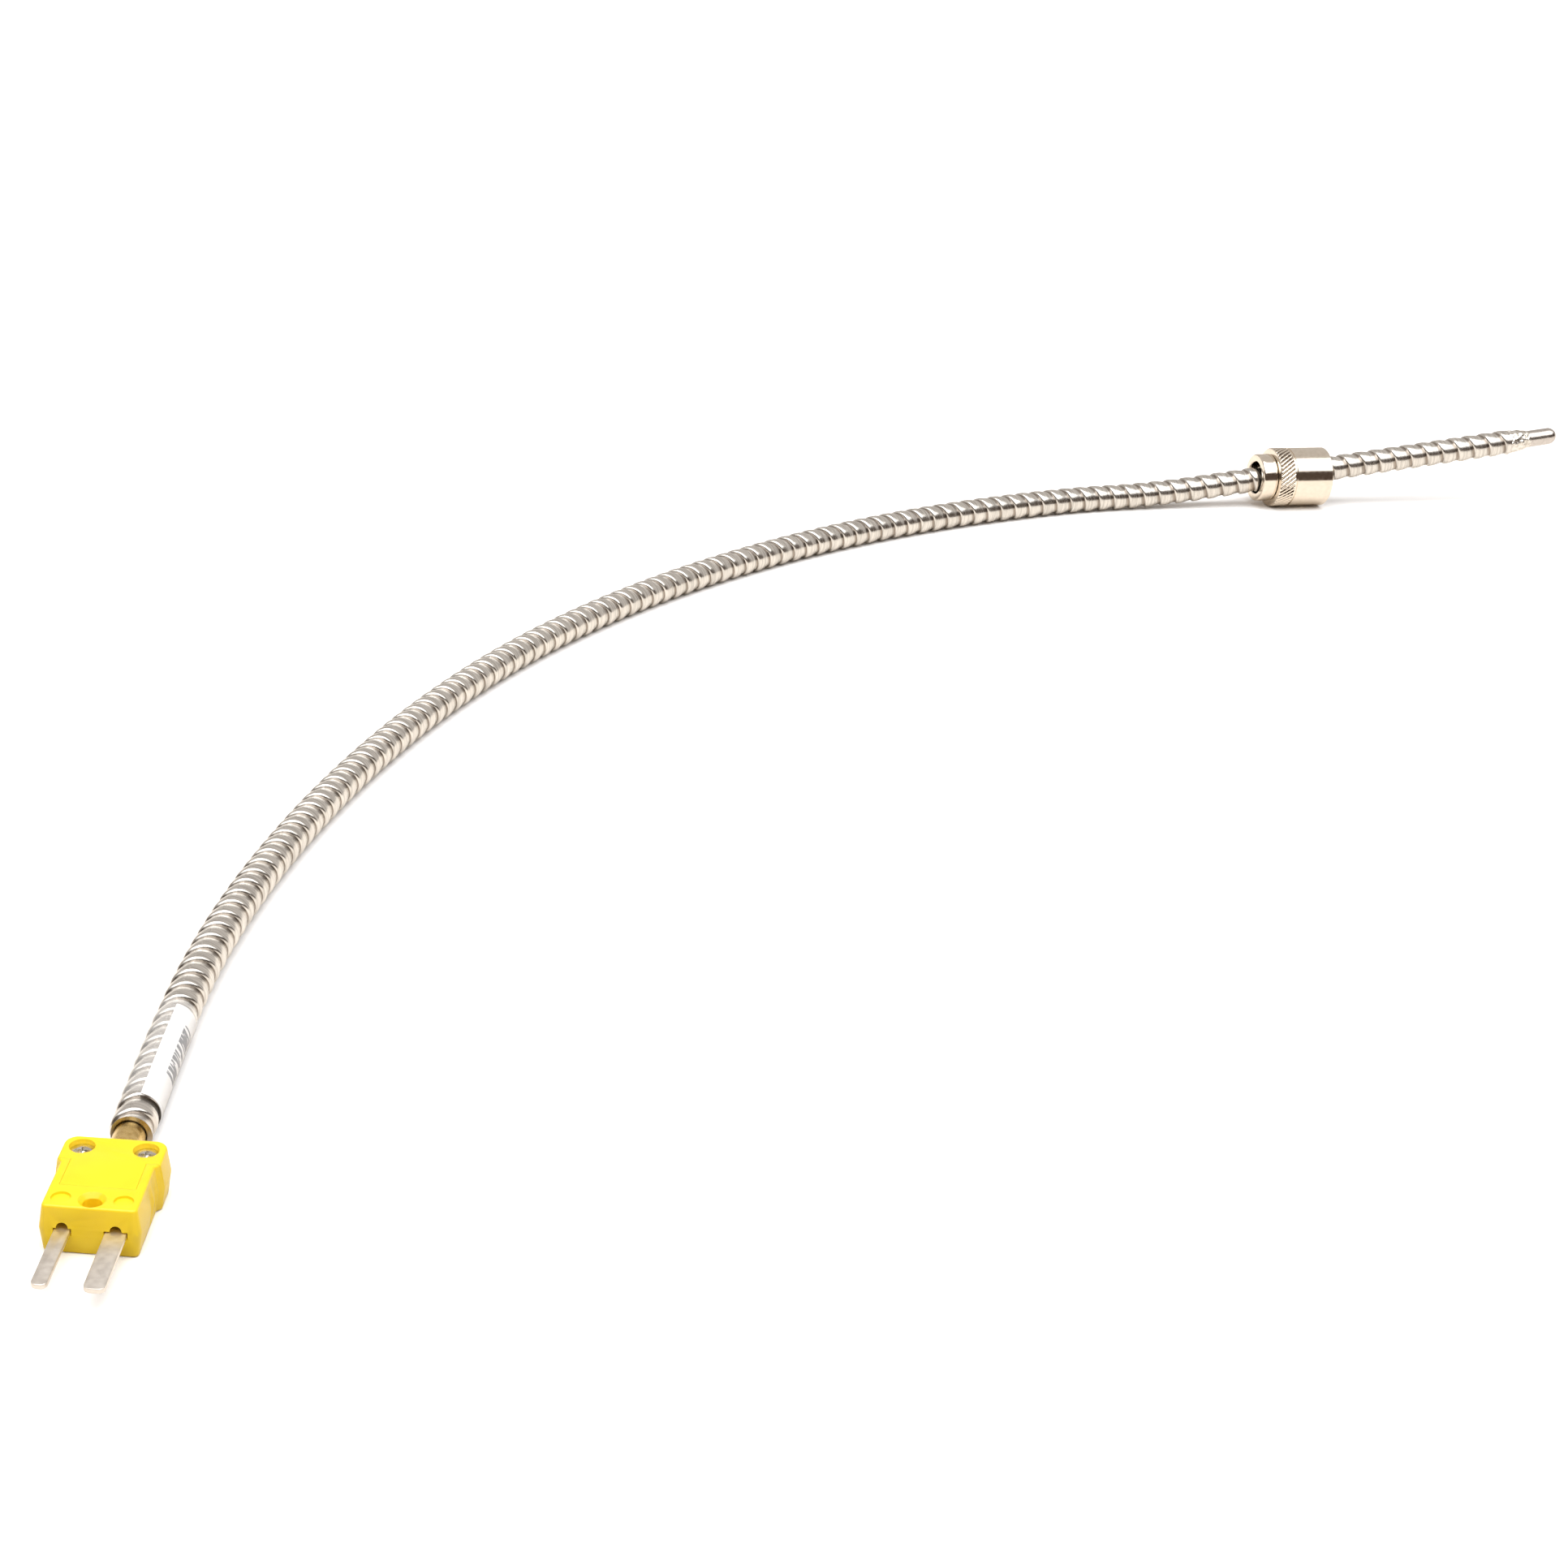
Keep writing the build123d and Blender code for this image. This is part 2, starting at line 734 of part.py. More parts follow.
# --- brass adapter -----------------------------------------------------------------------------------------------
with BuildPart() as brass_adapter:
    with BuildSketch(plug_across(adapter_rear_y)):
        with Locations((0, hose_plug_z)):
            Circle(adapter_od / 2)
    extrude(amount=adapter_rear_y - adapter_front_y)
    with BuildSketch(plug_across(adapter_front_y + adapter_flange_length)):
        with Locations((0, hose_plug_z)):
            Circle(adapter_flange_od / 2)
    extrude(amount=adapter_flange_length)
    with BuildSketch(plug_across(adapter_rear_y)):
        with Locations((0, hose_plug_z)):
            Circle(adapter_id / 2)
    extrude(amount=adapter_rear_y - adapter_front_y, mode=Mode.SUBTRACT)
brass_adapter.part.label = "brass_adapter"


# --- export ---------------------------------------------------------------------------------------------------------
built = [
    armour_lead,
    probe_armour,
    probe_tip,
    probe_braze,
    tip_insulator,
    junction_bead,
    heat_shrink_sleeve,
    wire_label,
    cap_shell,
    cap_collar,
    thrust_washer,
    snap_ring,
    plug_body,
    plug_cover,
    terminal_washers,
    cover_nuts,
    brass_adapter,
]
pieces = [block.part for block in built]
pieces += wires + [cover_screws, terminal_screws, pin_positive, pin_negative]
for piece in pieces:
    export_step(piece, f"parts/{piece.label}.step")
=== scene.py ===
import math

import bpy
import numpy as np
from mathutils import Matrix, Vector, noise


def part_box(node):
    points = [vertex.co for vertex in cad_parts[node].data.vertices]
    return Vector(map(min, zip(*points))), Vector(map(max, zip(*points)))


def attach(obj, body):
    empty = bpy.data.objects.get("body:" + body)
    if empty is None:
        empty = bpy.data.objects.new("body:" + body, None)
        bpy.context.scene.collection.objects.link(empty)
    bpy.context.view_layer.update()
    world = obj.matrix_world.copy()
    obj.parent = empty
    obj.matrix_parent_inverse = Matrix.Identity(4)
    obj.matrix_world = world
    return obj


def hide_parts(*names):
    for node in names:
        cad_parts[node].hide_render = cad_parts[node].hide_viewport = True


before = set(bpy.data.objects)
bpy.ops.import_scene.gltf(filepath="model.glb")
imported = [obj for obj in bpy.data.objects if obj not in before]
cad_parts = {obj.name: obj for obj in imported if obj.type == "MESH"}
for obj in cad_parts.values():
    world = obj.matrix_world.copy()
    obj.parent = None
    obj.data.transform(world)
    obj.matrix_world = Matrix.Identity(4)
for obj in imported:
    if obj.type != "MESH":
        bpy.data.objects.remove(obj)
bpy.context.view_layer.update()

MM = 0.001

# --- the object's own frame ---------------------------------------------------------------------
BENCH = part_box("cap_shell")[0][2]
PROBE_TILT = math.radians(7.5)
PROBE_CROSS = Vector((-15.0 * MM, 0, 0))
PROBE_AHEAD = Vector((math.cos(PROBE_TILT), 0, math.sin(PROBE_TILT)))
PROBE_SEAM = (-38.0 + 15.0) * MM / math.cos(PROBE_TILT)
PROBE_END = 70.6 * MM
HOSE_R = 3.55 * MM
PITCH = 4.7 * MM

# the armour's route over the bench, from the probe to the plug, in metres
ARMOUR_ROUTE = [
    (-0.03800, 0.0, -0.003028),
    (-0.05108, 0.0, -0.00475),
    (-0.0765, -0.0029, -0.00475),
    (-0.1160, -0.0150, -0.00475),
    (-0.1540, -0.0330, -0.00475),
    (-0.1900, -0.0565, -0.00475),
    (-0.2230, -0.0845, -0.00475),
    (-0.2520, -0.1160, -0.00475),
    (-0.2765, -0.1503, -0.00475),
    (-0.2970, -0.1860, -0.00475),
    (-0.3140, -0.2225, -0.00475),
    (-0.3268, -0.2580, -0.0043),
    (-0.3356, -0.2915, -0.0043),
    (-0.34227, -0.32403, -0.0043),
]


# --- camera -------------------------------------------------------------------------------------
def set_camera():
    heading = math.radians(81.98)
    pitch = math.radians(23.06)
    roll = math.radians(1.34)
    flat_ahead = Vector((math.cos(heading), math.sin(heading), 0))
    ahead = flat_ahead * math.cos(pitch) - Vector((0, 0, math.sin(pitch)))
    level_right = Vector((math.sin(heading), -math.cos(heading), 0))
    level_up = level_right.cross(ahead)
    right = level_right * math.cos(roll) + level_up * math.sin(roll)
    up = level_up * math.cos(roll) - level_right * math.sin(roll)
    data = bpy.data.cameras.new("camera")
    data.sensor_width = 36.0
    data.lens = 58.41
    data.shift_x = 0.19955
    data.shift_y = -0.00716
    data.clip_start = 0.01
    camera = bpy.data.objects.new("camera", data)
    bpy.context.collection.objects.link(camera)
    turn = Matrix((right, up, -ahead)).transposed().to_4x4()
    camera.matrix_world = Matrix.Translation((-0.33875, -0.66802, 0.20285)) @ turn
    bpy.context.scene.camera = camera


set_camera()


# --- lines and the frames that travel along them ------------------------------------------------
def smooth_line(name, route):
    """Points read from the smooth spline that a route steers."""
    data = bpy.data.curves.new(name, "CURVE")
    data.dimensions = "3D"
    data.resolution_u = 32
    spline = data.splines.new("NURBS")
    spline.points.add(len(route) - 1)
    for point, place in zip(spline.points, route):
        point.co = (*place, 1.0)
    spline.order_u = 3
    spline.use_endpoint_u = True
    curve = bpy.data.objects.new(name, data)
    mesh = bpy.data.meshes.new_from_object(curve)
    points = np.array([vertex.co[:] for vertex in mesh.vertices])
    bpy.data.objects.remove(curve)
    bpy.data.curves.remove(data)
    bpy.data.meshes.remove(mesh)
    return points


def reach_along(points):
    """Distance of each point from the start of its line."""
    steps = np.linalg.norm(np.diff(points, axis=0), axis=1)
    return np.concatenate([[0.0], np.cumsum(steps)])


def frames_along(points, distances):
    """Centre, upward and sideward directions at distances along a line."""
    reach = reach_along(points)

    def place(at):
        at = np.clip(at, 0, reach[-1])
        return np.stack([np.interp(at, reach, points[:, k]) for k in range(3)], axis=-1)

    step = 0.4 * MM
    ahead = place(distances + step) - place(distances - step)
    ahead /= np.linalg.norm(ahead, axis=-1, keepdims=True)
    side = np.cross(ahead, (0, 0, 1))
    side /= np.linalg.norm(side, axis=-1, keepdims=True)
    return place(distances), np.cross(side, ahead), side


lead_line = smooth_line("armour_route", ARMOUR_ROUTE)[::-1]
lead_length = reach_along(lead_line)[-1]
probe_line = np.linspace(
    PROBE_CROSS + PROBE_AHEAD * PROBE_SEAM, PROBE_CROSS + PROBE_AHEAD * PROBE_END, 40
)
probe_length = PROBE_END - PROBE_SEAM


# --- making pieces ------------------------------------------------------------------------------
def new_piece(name, vertices, faces):
    mesh = bpy.data.meshes.new(name)
    mesh.from_pydata([tuple(map(float, vertex)) for vertex in vertices], [], faces)
    piece = bpy.data.objects.new(name, mesh)
    bpy.context.collection.objects.link(piece)
    return piece


def work_on(piece):
    bpy.ops.object.select_all(action="DESELECT")
    piece.select_set(True)
    bpy.context.view_layer.objects.active = piece


def clean(piece, gap=1e-7, angle=40.0, face_outwards=True):
    """Merges doubles, turns the faces outwards and smooths all but the sharp edges."""
    work_on(piece)
    bpy.ops.object.mode_set(mode="EDIT")
    bpy.ops.mesh.select_all(action="SELECT")
    bpy.ops.mesh.remove_doubles(threshold=gap)
    bpy.ops.mesh.dissolve_degenerate(threshold=gap)
    if face_outwards:
        bpy.ops.mesh.select_all(action="SELECT")
        bpy.ops.mesh.normals_make_consistent(inside=False)
    bpy.ops.object.mode_set(mode="OBJECT")
    bpy.ops.object.shade_smooth_by_angle(angle=math.radians(angle))


def apply_modifiers(piece):
    work_on(piece)
    for modifier in list(piece.modifiers):
        bpy.ops.object.modifier_apply(modifier=modifier.name)


def merged_copy(node, name):
    """A loose copy of a CAD node's shape, merged into one clean surface."""
    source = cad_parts[node]
    piece = bpy.data.objects.new(name, source.data.copy())
    piece.data.materials.clear()
    bpy.context.collection.objects.link(piece)
    work_on(piece)
    bpy.ops.object.mode_set(mode="EDIT")
    bpy.ops.mesh.select_all(action="SELECT")
    bpy.ops.mesh.remove_doubles(threshold=2e-6)
    bpy.ops.mesh.dissolve_limited(angle_limit=math.radians(1.0))
    bpy.ops.object.mode_set(mode="OBJECT")
    return piece


def eased(piece, width, segments=3, angle=32.0):
    """Rounds a moulding's or stamping's edges."""
    bevel = piece.modifiers.new("edges", "BEVEL")
    bevel.width = width
    bevel.segments = segments
    bevel.limit_method = "ANGLE"
    bevel.angle_limit = math.radians(angle)
    bevel.harden_normals = False
    apply_modifiers(piece)
    work_on(piece)
    bpy.ops.object.shade_smooth_by_angle(angle=math.radians(40.0))


# --- strip-wound armour -------------------------------------------------------------------------
# one pitch of the strip from the plug's side to the tip's: share of the pitch, depth below the crest
STRIP_PROFILE = [
    (0.00, 0.46),
    (0.03, 0.44),
    (0.055, 0.20),
    (0.09, 0.06),
    (0.15, 0.00),
    (0.27, 0.00),
    (0.40, 0.03),
    (0.52, 0.10),
    (0.64, 0.22),
    (0.75, 0.34),
    (0.84, 0.42),
    (0.92, 0.45),
    (0.98, 0.46),
]
ARMOUR_SIDES = 44
ARMOUR_INNER_R = 2.65 * MM
WIND_START = 0.30


def strip_depth(turns):
    shares = [share for share, depth in STRIP_PROFILE] + [1.0]
    depths = [depth for share, depth in STRIP_PROFILE] + [STRIP_PROFILE[0][1]]
    return np.interp(np.mod(turns, 1.0), shares, depths) * MM


def wound_armour(name, line, near, far):
    """Armour whose strip winds on unbroken past the seam, where the winding is at zero."""
    angles = np.arange(ARMOUR_SIDES) * math.tau / ARMOUR_SIDES
    shares = np.array([share for share, depth in STRIP_PROFILE])
    turns = np.arange(math.floor(near / PITCH) - 2, math.ceil(far / PITCH) + 2)
    rows = (turns[:, None] + shares[None, :]).ravel()
    places = (rows[:, None] + WIND_START + angles[None, :] / math.tau) * PITCH
    cut = np.clip(places, near, far)
    winding = cut / PITCH - WIND_START - angles[None, :] / math.tau
    radii = HOSE_R - strip_depth(winding)
    centre, up, side = frames_along(line, cut - near)
    outward = np.cos(angles)[None, :, None] * up + np.sin(angles)[None, :, None] * side
    outer = (centre + outward * radii[..., None]).reshape(-1, 3)
    per_turn = len(shares)
    count = len(rows)
    faces = []
    kept = (cut[:-1] < cut[1:])
    for row in range(count - 1):
        for k in range(ARMOUR_SIDES):
            if k + 1 < ARMOUR_SIDES:
                right, right_row = k + 1, row
            else:
                right, right_row = 0, row + per_turn
            if right_row + 1 >= count:
                continue
            if not (kept[row, k] or kept[right_row, right]):
                continue
            faces.append(
                (
                    row * ARMOUR_SIDES + k,
                    right_row * ARMOUR_SIDES + right,
                    (right_row + 1) * ARMOUR_SIDES + right,
                    (row + 1) * ARMOUR_SIDES + k,
                )
            )
    # the bore, and the cut ends that join it to the strip
    steps = max(2, int((far - near) / (2 * PITCH)))
    levels = np.linspace(near, far, steps)
    bore_cut = np.repeat(levels[:, None], ARMOUR_SIDES, axis=1)
    centre, up, side = frames_along(line, bore_cut - near)
    outward = np.cos(angles)[None, :, None] * up + np.sin(angles)[None, :, None] * side
    bore = (centre + outward * ARMOUR_INNER_R).reshape(-1, 3)
    ends = []
    for level in (near, far):
        winding = level / PITCH - WIND_START - angles / math.tau
        centre, up, side = frames_along(line, np.full(ARMOUR_SIDES, level - near))
        outward = np.cos(angles)[:, None] * up + np.sin(angles)[:, None] * side
        ends.append(centre + outward * (HOSE_R - strip_depth(winding))[:, None])
    bore_start = len(outer)
    ends_start = bore_start + len(bore)
    for k in range(ARMOUR_SIDES):
        right = (k + 1) % ARMOUR_SIDES
        for level in range(steps - 1):
            low = bore_start + level * ARMOUR_SIDES
            high = low + ARMOUR_SIDES
            faces.append((low + k, high + k, high + right, low + right))
        for end, rim in ((0, bore_start), (1, bore_start + (steps - 1) * ARMOUR_SIDES)):
            edge = ends_start + end * ARMOUR_SIDES
            faces.append((edge + k, edge + right, rim + right, rim + k))
    vertices = np.concatenate([outer, bore, *ends])
    piece = new_piece(name, vertices, faces)
    # how deep each place lies, and where it is across and along the strip in millimetres
    # the depth also drives the armour material's painted shade in the lap
    depth = np.ones(len(vertices))
    depth[:bore_start] = (HOSE_R - radii.ravel()) / (STRIP_PROFILE[-1][1] * MM)
    valley = piece.data.attributes.new("valley", "FLOAT", "POINT")
    valley.data.foreach_set("value", depth)
    strip = np.zeros((len(vertices), 2))
    strip[:bore_start, 0] = np.repeat(rows, ARMOUR_SIDES) * PITCH / MM
    wound = rows[:, None] + angles[None, :] / math.tau
    strip[:bore_start, 1] = wound.ravel() * math.tau * HOSE_R / MM
    corners = np.empty(len(piece.data.loops), dtype=int)
    piece.data.loops.foreach_get("vertex_index", corners)
    piece.data.uv_layers.new(name="strip").data.foreach_set("uv", strip[corners].ravel())
    clean(piece, gap=2e-6, angle=50.0)
    return piece


lead = wound_armour("armour_lead_wound", lead_line, -lead_length, 0.0)
probe = wound_armour("probe_armour_wound", probe_line, 0.0, probe_length)


# --- turned pieces ------------------------------------------------------------------------------
TURNED_SIDES = 192


def turned(name, outline, sides=TURNED_SIDES):
    """A ring carried along an outline of (distance, radius) in millimetres, made standing on Z."""
    bpy.ops.object.select_all(action="DESELECT")
    start, start_r = outline[0]
    bpy.ops.mesh.primitive_circle_add(
        vertices=sides, radius=start_r * MM, location=(0, 0, start * MM)
    )
    piece = bpy.context.object
    piece.name = name
    bpy.ops.object.transform_apply(location=True)
    bpy.ops.object.mode_set(mode="EDIT")
    bpy.ops.mesh.select_all(action="SELECT")
    for (before, before_r), (after, after_r) in zip(outline, outline[1:]):
        bpy.ops.mesh.extrude_region_move(
            TRANSFORM_OT_translate={"value": (0, 0, (after - before) * MM)}
        )
        scale = after_r / before_r
        bpy.ops.transform.resize(value=(scale, scale, 1), center_override=(0, 0, after * MM))
    bpy.ops.object.mode_set(mode="OBJECT")
    return piece


def lay_along(piece, origin, ahead):
    """Puts a piece made standing on Z along a direction, with its X axis kept upward."""
    ahead = Vector(ahead).normalized()
    side = ahead.cross(Vector((0, 0, 1))).normalized()
    up = side.cross(ahead)
    turn = Matrix((up, side, ahead)).transposed().to_4x4()
    piece.data.transform(Matrix.Translation(origin) @ turn)


CAP_R = 8.3
SHELL_END = -15.6
KNURL_END = -11.25
GROOVE_END = -10.7
knurl_rows = np.linspace(SHELL_END + 0.3, KNURL_END - 0.1, 22)
shell_outline = [
    (0.0, 6.85),
    (0.0, 7.95),
    (-0.10, 8.16),
    (-0.32, CAP_R),
    (-2.5, CAP_R),
    (-5.0, CAP_R),
    (-7.5, CAP_R),
    (GROOVE_END + 0.08, CAP_R),
    (GROOVE_END, 8.22),
    (GROOVE_END - 0.05, 7.98),
    (KNURL_END + 0.05, 7.98),
    (KNURL_END, 8.05),
]
shell_outline += [(float(row), CAP_R) for row in knurl_rows[::-1]]
shell_outline += [
    (SHELL_END + 0.1, 8.15),
    (SHELL_END, 7.95),
    (SHELL_END, 5.85),
    (-14.1, 5.85),
    (-14.1, 6.6),
    (-7.0, 6.6),
    (-0.3, 6.6),
    (0.0, 6.85),
]
shell = turned("cap_shell_knurled", shell_outline, sides=410)
clean(shell, gap=1e-6)

# the knurl: slanting ridges rolled round the band
KNURL_RIDGES = 41
KNURL_DEPTH = 0.34 * MM
KNURL_TURNS_PER_MM = 0.62
# the knurl's depth, which the nickel material turns into painted shade in the cuts
valley = shell.data.attributes.new("valley", "FLOAT", "POINT")
for vertex in shell.data.vertices:
    distance, radius = vertex.co.z, vertex.co.xy.length
    if not (SHELL_END + 0.25) * MM < distance < (KNURL_END - 0.05) * MM or radius < 8.2 * MM:
        continue
    turn = math.atan2(vertex.co.y, vertex.co.x) / math.tau * KNURL_RIDGES
    ridge = abs((turn + distance / MM * KNURL_TURNS_PER_MM) % 1.0 - 0.5) * 2
    share = max(0.0, 1 - 1.7 * ridge)
    valley.data[vertex.index].value = share
    cut = KNURL_DEPTH * share
    vertex.co.x *= 1 - cut / radius
    vertex.co.y *= 1 - cut / radius
lay_along(shell, (0, 0, 0), (1, 0, 0))

# bayonet slot: in from the mouth, round the shell, and a notch back for the pin
SLOT_WIDTH = 3.2
SLOT_DEPTH = 6.6
SLOT_SIDE = math.radians(-18.0)
SLOT_TURN = math.radians(48.0)


def slot_cutters():
    """Two rounded blocks and a ring sector, each a closed cutter."""
    cutters = []
    middle = (-SLOT_DEPTH + SLOT_WIDTH / 2) * MM
    half = SLOT_WIDTH / 2 * MM
    inner_r, outer_r = 4 * MM, 11 * MM
    for turn, start, end in ((0.0, middle, 2 * MM), (SLOT_TURN, middle, middle + 1.2 * MM)):
        outline = []
        for k in range(17):
            angle = math.pi / 2 + math.pi * k / 16
            outline.append((start + half * math.cos(angle), half * math.sin(angle)))
        for k in range(17):
            angle = -math.pi / 2 + math.pi * k / 16
            outline.append((end + half * math.cos(angle), half * math.sin(angle)))
        low = [(x, y, inner_r) for x, y in outline]
        high = [(x, y, outer_r) for x, y in outline]
        count = len(outline)
        faces = [tuple(range(count))[::-1], tuple(range(count, 2 * count))]
        faces += [(k, (k + 1) % count, count + (k + 1) % count, count + k) for k in range(count)]
        block = new_piece("slot_block", low + high, faces)
        block.data.transform(Matrix.Rotation(SLOT_SIDE + turn - math.pi / 2, 4, "X"))
        clean(block)
        cutters.append(block)
    steps = 24
    vertices = []
    for k in range(steps + 1):
        angle = SLOT_SIDE + SLOT_TURN * k / steps
        for x, r in ((-half, inner_r), (half, inner_r), (half, outer_r), (-half, outer_r)):
            vertices.append((middle + x, r * math.cos(angle), r * math.sin(angle)))
    faces = [(3, 2, 1, 0), tuple(4 * steps + k for k in range(4))]
    for k in range(steps):
        for edge in range(4):
            after = (edge + 1) % 4
            faces.append((4 * k + edge, 4 * k + after, 4 * k + 4 + after, 4 * k + 4 + edge))
    ring = new_piece("slot_ring", vertices, faces)
    clean(ring)
    cutters.append(ring)
    return cutters


for cutter in slot_cutters():
    cut = shell.modifiers.new("slot", "BOOLEAN")
    cut.operation = "DIFFERENCE"
    cut.solver = "EXACT"
    cut.object = cutter
    apply_modifiers(shell)
    bpy.data.objects.remove(cutter)
clean(shell, gap=1e-6, angle=28.0, face_outwards=False)

collar = turned(
    "cap_collar_turned",
    [
        (-19.9, 4.75),
        (-19.9, 6.2),
        (-19.82, 6.42),
        (-19.55, 6.62),
        (-19.2, 6.65),
        (-16.3, 6.65),
        (-15.95, 6.60),
        (-15.78, 6.42),
        (-15.75, 6.2),
        (-15.75, 5.8),
        (-13.0, 5.8),
        (-13.0, 5.38),
        (-12.25, 5.38),
        (-12.25, 5.8),
        (-11.6, 5.8),
        (-11.6, 4.55),
        (-19.7, 4.55),
        (-19.9, 4.75),
    ],
)
clean(collar, gap=1e-6)
lay_along(collar, (0, 0, 0), (1, 0, 0))

# --- probe tip and braze ------------------------------------------------------------------------
TIP_R = 2.38
tip_outline = [(66.0, 2.18), (76.3, 2.18), (76.4, TIP_R), (79.0, TIP_R)]
dome = 85.4 - TIP_R
for k in range(0, 13):
    angle = math.pi / 2 * k / 12 * 0.985
    tip_outline.append((dome + TIP_R * math.sin(angle), TIP_R * math.cos(angle)))
tip = turned("probe_tip_rod", tip_outline, sides=64)
work_on(tip)
bpy.ops.object.mode_set(mode="EDIT")
bpy.ops.mesh.select_all(action="SELECT")
bpy.ops.mesh.region_to_loop()
bpy.ops.mesh.edge_face_add()
bpy.ops.object.mode_set(mode="OBJECT")
clean(tip)
lay_along(tip, PROBE_CROSS, PROBE_AHEAD)

braze_rows = np.linspace(70.2, 77.0, 44)
braze_radius = np.interp(
    braze_rows, [70.2, 70.6, 71.6, 73.0, 74.6, 76.0, 77.0], [3.30, 3.34, 3.22, 3.05, 2.92, 2.62, 2.36]
)
braze_outline = [(70.2, 2.3)]
braze_outline += [(float(row), float(radius)) for row, radius in zip(braze_rows, braze_radius)]
braze_outline += [(77.0, 2.2), (70.2, 2.2), (70.2, 2.3)]
braze = turned("braze_bead", braze_outline, sides=112)
clean(braze, gap=1e-6)
for vertex in braze.data.vertices:
    radius = vertex.co.xy.length
    if radius < 2.35 * MM:
        continue
    seed = vertex.co / (1.15 * MM)
    lump = noise.noise(seed) * 0.26 + noise.noise(seed * 2.3) * 0.12
    fade = min(1.0, (77.0 * MM - vertex.co.z) / (0.8 * MM))
    vertex.co.xy *= 1 + (lump * fade) * MM / radius
lay_along(braze, PROBE_CROSS, PROBE_AHEAD)
clean(braze, gap=1e-7, angle=60)

# --- plug ---------------------------------------------------------------------------------------
plug_body = merged_copy("plug_body", "plug_body_moulded")
eased(plug_body, 0.16 * MM)
plug_cover = merged_copy("plug_cover", "plug_cover_moulded")
eased(plug_cover, 0.14 * MM)
pins = {}
for pole in ("pin_positive", "pin_negative"):
    pins[pole] = merged_copy(pole, pole + "_stamped")
    eased(pins[pole], 0.12 * MM)
screws = merged_copy("cover_screws", "cover_screws_pressed")
eased(screws, 0.10 * MM, segments=2)


# --- sleeve and label ---------------------------------------------------------------------------
def band_along(name, line, start, length, arc_start, arc, radius, rows, sides, ripple=0.0, flare=0.0):
    """A thin film round the armour: its start is measured from the plug's end."""
    distances = start + np.linspace(0, length, rows)
    angles = math.radians(arc_start) + np.linspace(0, math.radians(arc), sides)
    grid = np.repeat(distances[:, None], sides, axis=1)
    centre, up, side = frames_along(line, grid)
    outward = np.cos(angles)[None, :, None] * up + np.sin(angles)[None, :, None] * side
    near_end = np.exp(-(distances - start) / (0.9 * MM))
    waves = np.cos((grid / PITCH - WIND_START - angles[None, :] / math.tau) * math.tau)
    radii = radius + flare * near_end[:, None] + ripple * waves
    vertices = (centre + outward * radii[..., None]).reshape(-1, 3)
    faces = []
    for row in range(rows - 1):
        for k in range(sides - 1):
            first = row * sides + k
            faces.append((first, first + 1, first + sides + 1, first + sides))
    piece = new_piece(name, vertices, faces)
    uv = piece.data.uv_layers.new(name="film")
    for loop in piece.data.loops:
        row, k = divmod(loop.vertex_index, sides)
        uv.data[loop.index].uv = (row / (rows - 1), k / (sides - 1))
    return piece


def thicken(piece, thickness):
    solid = piece.modifiers.new("thickness", "SOLIDIFY")
    solid.thickness = thickness
    solid.offset = 0
    apply_modifiers(piece)
    work_on(piece)
    bpy.ops.object.shade_smooth_by_angle(angle=math.radians(40.0))


label = band_along("wire_label_film", lead_line, 6.8 * MM, 29.7 * MM, 7, 143, 3.62 * MM, 90, 48)
thicken(label, 0.06 * MM)
sleeve = band_along(
    "heat_shrink_film", lead_line, 7.0 * MM, 31.0 * MM, 0, 360, 3.80 * MM, 120, 73,
    ripple=0.02 * MM, flare=0.12 * MM,
)
clean(sleeve, gap=1e-6)
thicken(sleeve, 0.12 * MM)


# --- materials ----------------------------------------------------------------------------------
def lay_out(tree, frames):
    """Sets the nodes out in labelled frames, one column of nodes for each effect."""
    for column, (title, nodes) in enumerate(frames):
        holder = tree.nodes.new("NodeFrame")
        holder.label = title
        for row, node in enumerate(nodes):
            node.parent = holder
            node.location = (column * 260, -row * 240)


